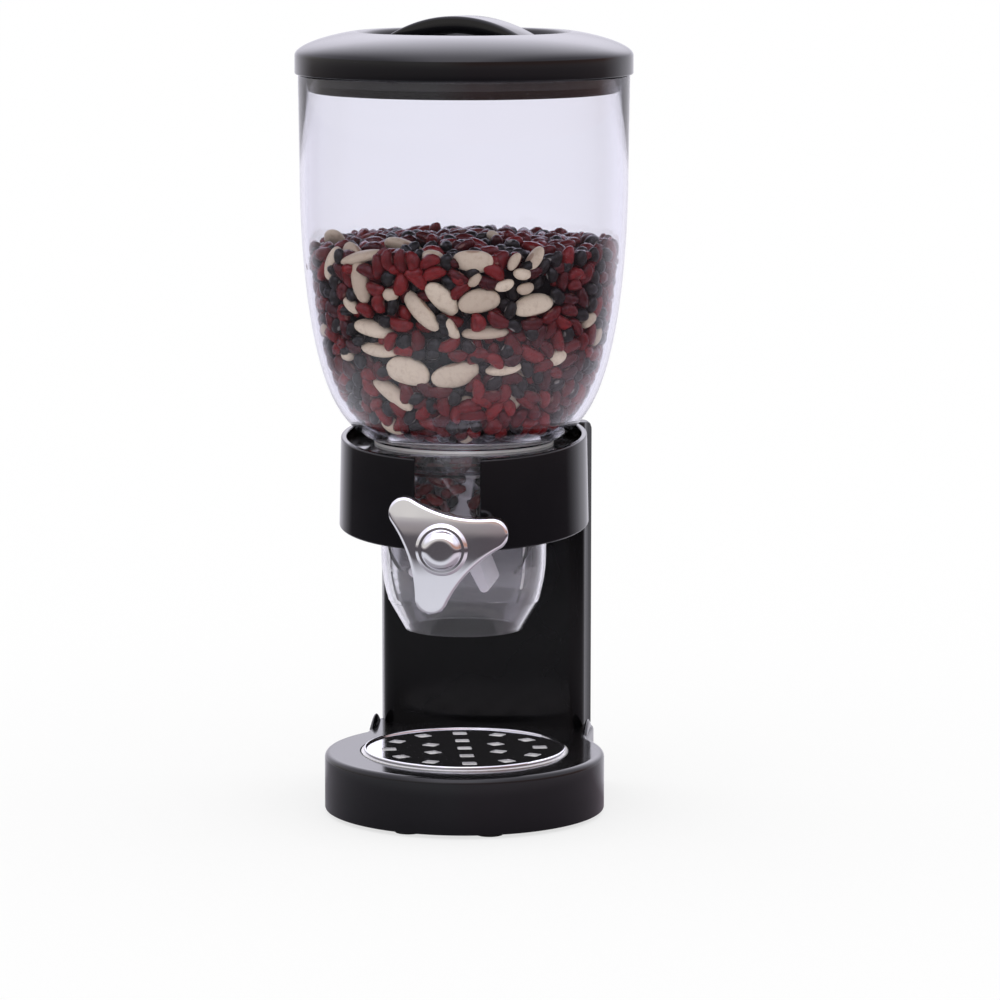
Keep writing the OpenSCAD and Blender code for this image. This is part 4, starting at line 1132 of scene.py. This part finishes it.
def layWall(depth, fill, withFront):
    onSurface, run, moved, full = wallSurface(depth, beanLayers["heap"] + 1)
    area = (np.pi * (moved[1:, 0] + moved[:-1, 0]) * np.diff(run)).sum()
    kinds = drawKinds(area * fill, large=not withFront)
    # wider parts of the wall take more beans
    count = 400
    weight = np.interp(np.linspace(0, run[-1], count), run, moved[:, 0])
    spot = rng.choice(count, size=len(kinds), p=weight / weight.sum())
    start = np.stack([(spot + rng.random(len(kinds))) / count * run[-1],
                      rng.random(len(kinds)) * 2 * np.pi * full - np.pi * full], axis=1)
    angle = rng.random(len(kinds)) * 2 * np.pi
    sizes = sizesOf(kinds)
    fixed = 0
    if withFront:
        frontStart, frontAngle, frontSizes = placeFront(run, moved, full)
        fixed = len(frontStart)
        start = np.concatenate([frontStart, start])
        angle = np.concatenate([frontAngle, angle])
        sizes = np.concatenate([frontSizes, sizes])
        kinds = ["cream"] * fixed + kinds
    point, axis, normal = relax(start, angle, sizes, onSurface, fixed)
    if withFront:
        # a bean whose middle lies over a big one would hide it, and is left out
        away = point[:, None] - point[None, :fixed]
        along = np.einsum("nkd,kd->nk", away, axis[:fixed])
        aside = np.sqrt(np.clip((away ** 2).sum(axis=2) - along ** 2, 0, None))
        long = along / (sizes[:fixed, 0] / 2 + beanLayers["clear"])
        wide = aside / (sizes[:fixed, 1] / 2 + beanLayers["clear"])
        clear = (long ** 2 + wide ** 2).min(axis=1) > 1
        clear[:fixed] = True
        kinds = [kind for kind, stays in zip(kinds, clear) if stays]
        point, axis, normal, sizes = point[clear], axis[clear], normal[clear], sizes[clear]
    inward = normal * np.sign(np.einsum("nd,nd->n", normal, point * (-1, -1, 0)))[:, None]
    storeLayer(kinds, sizes, point, axis, inward, beanLayers["wallTilt"], True)


def layLevel(level, radius, fill, large, rise):
    kinds = drawKinds(np.pi * radius ** 2 * fill, large)
    far = radius * np.sqrt(rng.random(len(kinds)))
    turn = rng.random(len(kinds)) * 2 * np.pi
    start = np.stack([far * np.cos(turn), far * np.sin(turn)], axis=1)
    sizes = sizesOf(kinds)
    point, axis, normal = relax(start, rng.random(len(kinds)) * 2 * np.pi, sizes,
                                discSurface(level, radius))
    # long beans keep clear of the wall
    room = radius + 4 - sizes[:, 0] / 2
    away = np.maximum(np.linalg.norm(point[:, :2], axis=1), 1e-6)
    point[:, :2] *= np.minimum(1, room / away)[:, None]
    hump = beanLayers["hump"] * (1 - (away / radius) ** 2)
    point[:, 2] += rng.normal(0, rise, len(point)) + hump
    storeLayer(kinds, sizes, point, axis, normal, beanLayers["tilt"], False)


def layBeans():
    size = beanLayers
    layWall(size["depths"][0], size["fill"][0], True)
    layWall(size["depths"][1], size["fill"][1], False)
    layLevel(size["heap"] - size["heapStep"], innerR - 5, size["heapFill"], False,
             size["heapRise"])
    layLevel(size["heap"], innerR - 6, size["heapFill"], True, size["heapRise"])
    level = binLow[2] + 4
    while level < footZ + 8:
        layLevel(level, size["neckR"], size["neckFill"], False, size["neckRise"])
        level += size["neckStep"]


# beans in the wheel's upper pockets: darts thrown between the blades, each clear of the others
def fillPockets():
    size = beanLayers
    kept = []
    for turn in size["pocketTurns"]:
        darts = rng.random((4000, 3))
        angle = np.radians(turn + (darts[:, 0] * 2 - 1) * size["pocketSpread"])
        r = size["pocketR"][0] + (size["pocketR"][1] - size["pocketR"][0]) * darts[:, 1]
        y = (darts[:, 2] * 2 - 1) * size["pocketHalf"]
        spots = np.stack([r * np.cos(angle), y, axleZ + r * np.sin(angle)], axis=1)
        chosen = spots[:1]
        for spot in spots[1:]:
            if len(chosen) < size["pocketCount"] and (
                    np.linalg.norm(chosen - spot, axis=1).min() > size["pocketGap"]):
                chosen = np.concatenate([chosen, spot[None]])
        kept.append(chosen)
    return np.concatenate(kept)


def makeBeans():
    layBeans()
    for name, kind in beanKinds.items():
        places = np.concatenate([row[0] for row in beanStore[name]])
        axes = np.concatenate([row[1] for row in beanStore[name]])
        halves = np.concatenate([row[2] for row in beanStore[name]])
        tones = rng.random(len(places))
        obj = beanMesh(name + "Beans", kind, places, axes, halves, tones)
        dress(obj, kind["skin"], "black_matte", "hopper")
        print(name, "beans", len(places))
    places = fillPockets()
    random = rng.normal(size=(len(places), 3))
    random /= np.linalg.norm(random, axis=1)[:, None]
    axes = framed(random, np.cross(random, np.roll(random, 1, axis=1)), 0.2)
    axes /= np.linalg.norm(axes, axis=2)[:, :, None]
    isRed = rng.random(len(places)) < 0.7
    for name, chosen in (("red", isRed), ("black", ~isRed)):
        kind = beanKinds[name]
        halves = np.tile(np.array(kind["size"]) * beanLayers["pocketSize"], (chosen.sum(), 1))
        obj = beanMesh(name + "Pocket", kind, places[chosen], axes[chosen], halves,
                       rng.random(chosen.sum()))
        dress(obj, kind["skin"], "black_matte", "rotor")
        print(name, "beans in the wheel", chosen.sum())


# a near-black mass inside the outer layers of beans: painted shade that stands in for the inner
# beans in their shade, so that nothing bright shows through between them
def makeShadeCore():
    gap = beanLayers["coreGap"]
    top = beanLayers["heap"] - beanLayers["coreDrop"]
    profile = innerProfile(40)
    profile = profile[profile[:, 1] < top - beanLayers["coreLean"]]
    rows = np.stack([np.clip(profile[:, 0] - gap, 6, None), profile[:, 1] + gap * 0.4], axis=1)
    rows = np.concatenate([[[0, rows[0, 1]]], rows, [[rows[-1, 0] - 2, top], [0, top]]])
    obj = solid("beanShadeMass", (revolved(rows, 64), True, False, False))
    # its black matte colour is the painted shade of the beans deep in the heap
    dress(obj, blackMatte, "black_matte", "hopper")


makeBeans()
makeShadeCore()
print("beans ready")


# the floor's tone in reflections by the distance from the object in metres
floorTones = [(0.0, (0.38, 0.36, 0.41, 1)), (0.22, (0.45, 0.43, 0.48, 1)),
              (0.33, (0.8, 0.8, 0.86, 1)), (0.55, (0.75, 0.75, 0.81, 1)),
              (0.8, (0.1, 0.09, 0.1, 1)), (1.7, (0.1, 0.09, 0.1, 1)),
              (2.4, (0.3, 0.27, 0.27, 1)), (5.0, (0.36, 0.33, 0.34, 1)),
              (10.24, (0.5, 0.47, 0.47, 1))]
# half its width, and how far a straight look at it shows plain white in place of its light
floorSizes = {"half": 30000, "white": 0.7}


# 1 on a path that a mirror or the skin of clear plastic has thrown back, 0 on any other; what is
# seen straight or through clear plastic stays white
def mirrorPath(tree, ray):
    bounced = math2(tree, "MINIMUM", ray.outputs["Glossy Depth"], 1.0)
    direct = math2(tree, "SUBTRACT", 1.0, ray.outputs["Is Diffuse Ray"])
    return math2(tree, "MULTIPLY", bounced, direct)


def makeFloor():
    edge = np.array([-1.0, 1.0]) * floorSizes["half"]
    obj = solid("floor", (gridOf(edge[None, :], edge[:, None], 0.0), False, False, False))
    material, tree, shader, place = newMaterial("floorWhite", Roughness=0.9,
                                                Specular_IOR_Level=0.0)
    plain = toned(tree, place, (1.0, 1.0, 1.0, 1), (0.995, 0.995, 1.0, 1), 3.0)
    # reflections see how bright the table and the room before it are, by the distance in metres
    parts = add(tree, "ShaderNodeSeparateXYZ", {0: place})
    far = add(tree, "ShaderNodeVectorMath", {0: place}, operation="LENGTH").outputs["Value"]
    reach = math.sqrt(floorTones[-1][0])
    ramp = tree.nodes.new("ShaderNodeValToRGB")
    stops = ramp.color_ramp.elements
    stops[0].color = floorTones[0][1]
    stops[1].color = floorTones[-1][1]
    for distance, tone in floorTones[1:-1]:
        stops.new(math.sqrt(distance) / reach).color = tone
    tree.links.new(math2(tree, "DIVIDE", math2(tree, "POWER", far, 0.5), reach), ramp.inputs[0])
    front = remap(tree, math2(tree, "DIVIDE", parts.outputs["Y"], far), 0.8, 0.45)
    right = remap(tree, math2(tree, "DIVIDE", parts.outputs["X"], far), 0.02, 0.2)
    before = mixColor(tree, right, ramp.outputs[0], (1.0, 0.9, 0.93, 1), "MULTIPLY")
    mirrored = mixColor(tree, front, (0.93, 0.91, 1.0, 1), before)
    ray = tree.nodes.new("ShaderNodeLightPath")
    bounced = mirrorPath(tree, ray)
    tree.links.new(mixColor(tree, bounced, plain, mirrored), shader.inputs["Base Color"])
    glow = add(tree, "ShaderNodeEmission", {"Color": (1, 1, 1, 1), "Strength": 1.0})
    through = math2(tree, "SUBTRACT", ray.outputs["Is Transmission Ray"], bounced)
    straight = math2(tree, "MAXIMUM", ray.outputs["Is Camera Ray"], through)
    shownAs(tree, math2(tree, "MULTIPLY", straight, floorSizes["white"]), shader.outputs[0],
            glow.outputs[0])
    obj.data.materials.append(material)


# a plain white surround; reflections see a bright ceiling, bright sides and a dim room in front
def makeWorld():
    world = bpy.data.worlds.new("surround")
    world.use_nodes = True
    world.cycles.sampling_method = "NONE"  # so that every ray sees the tone meant for its kind
    bpy.context.scene.world = world
    tree = world.node_tree
    tree.nodes.clear()
    direction = tree.nodes.new("ShaderNodeTexCoord").outputs["Generated"]
    parts = add(tree, "ShaderNodeSeparateXYZ", {0: direction})
    toFront = remap(tree, parts.outputs["Y"], 0.8, 0.45)
    side = remap(tree, parts.outputs["X"], -0.2, 0.25)
    room = mixColor(tree, side, (0.74, 0.71, 0.68, 1), (0.52, 0.3, 0.24, 1))
    glow = mixColor(tree, toFront, (1.0, 0.98, 1.1, 1), room)
    above = remap(tree, parts.outputs["Z"], 0.12, 0.4)
    aside = remap(tree, math2(tree, "ABSOLUTE", parts.outputs["X"]), 0.2, 0.7)
    ceiling = mixColor(tree, aside, (2.4, 2.35, 2.64, 1), (1.1, 1.07, 1.22, 1))
    glow = mixColor(tree, above, glow, ceiling)
    ray = tree.nodes.new("ShaderNodeLightPath")
    color = mixColor(tree, mirrorPath(tree, ray), (1, 1, 1, 1), glow)
    background = add(tree, "ShaderNodeBackground", {"Color": color, "Strength": 1.0})
    output = tree.nodes.new("ShaderNodeOutputWorld")
    tree.links.new(background.outputs[0], output.inputs["Surface"])


def makeCamera():
    size = cameraSizes
    data = bpy.data.cameras.new("view")
    data.lens = size["lens"]
    data.sensor_width = size["sensor"]
    data.shift_x, data.shift_y = size["shift"]
    data.clip_end = size["farthest"]
    obj = bpy.data.objects.new("view", data)
    turn = math.radians(size["azimuth"])
    far = size["distance"] * mm
    obj.location = (far * math.sin(turn), -far * math.cos(turn), size["height"] * mm)
    obj.rotation_euler = (math.radians(90 - size["pitch"]), 0, turn)
    bpy.context.scene.collection.objects.link(obj)
    bpy.context.scene.camera = obj


makeFloor()
makeWorld()
makeCamera()
bpy.context.scene.view_settings.view_transform = "Standard"
print("stage ready")
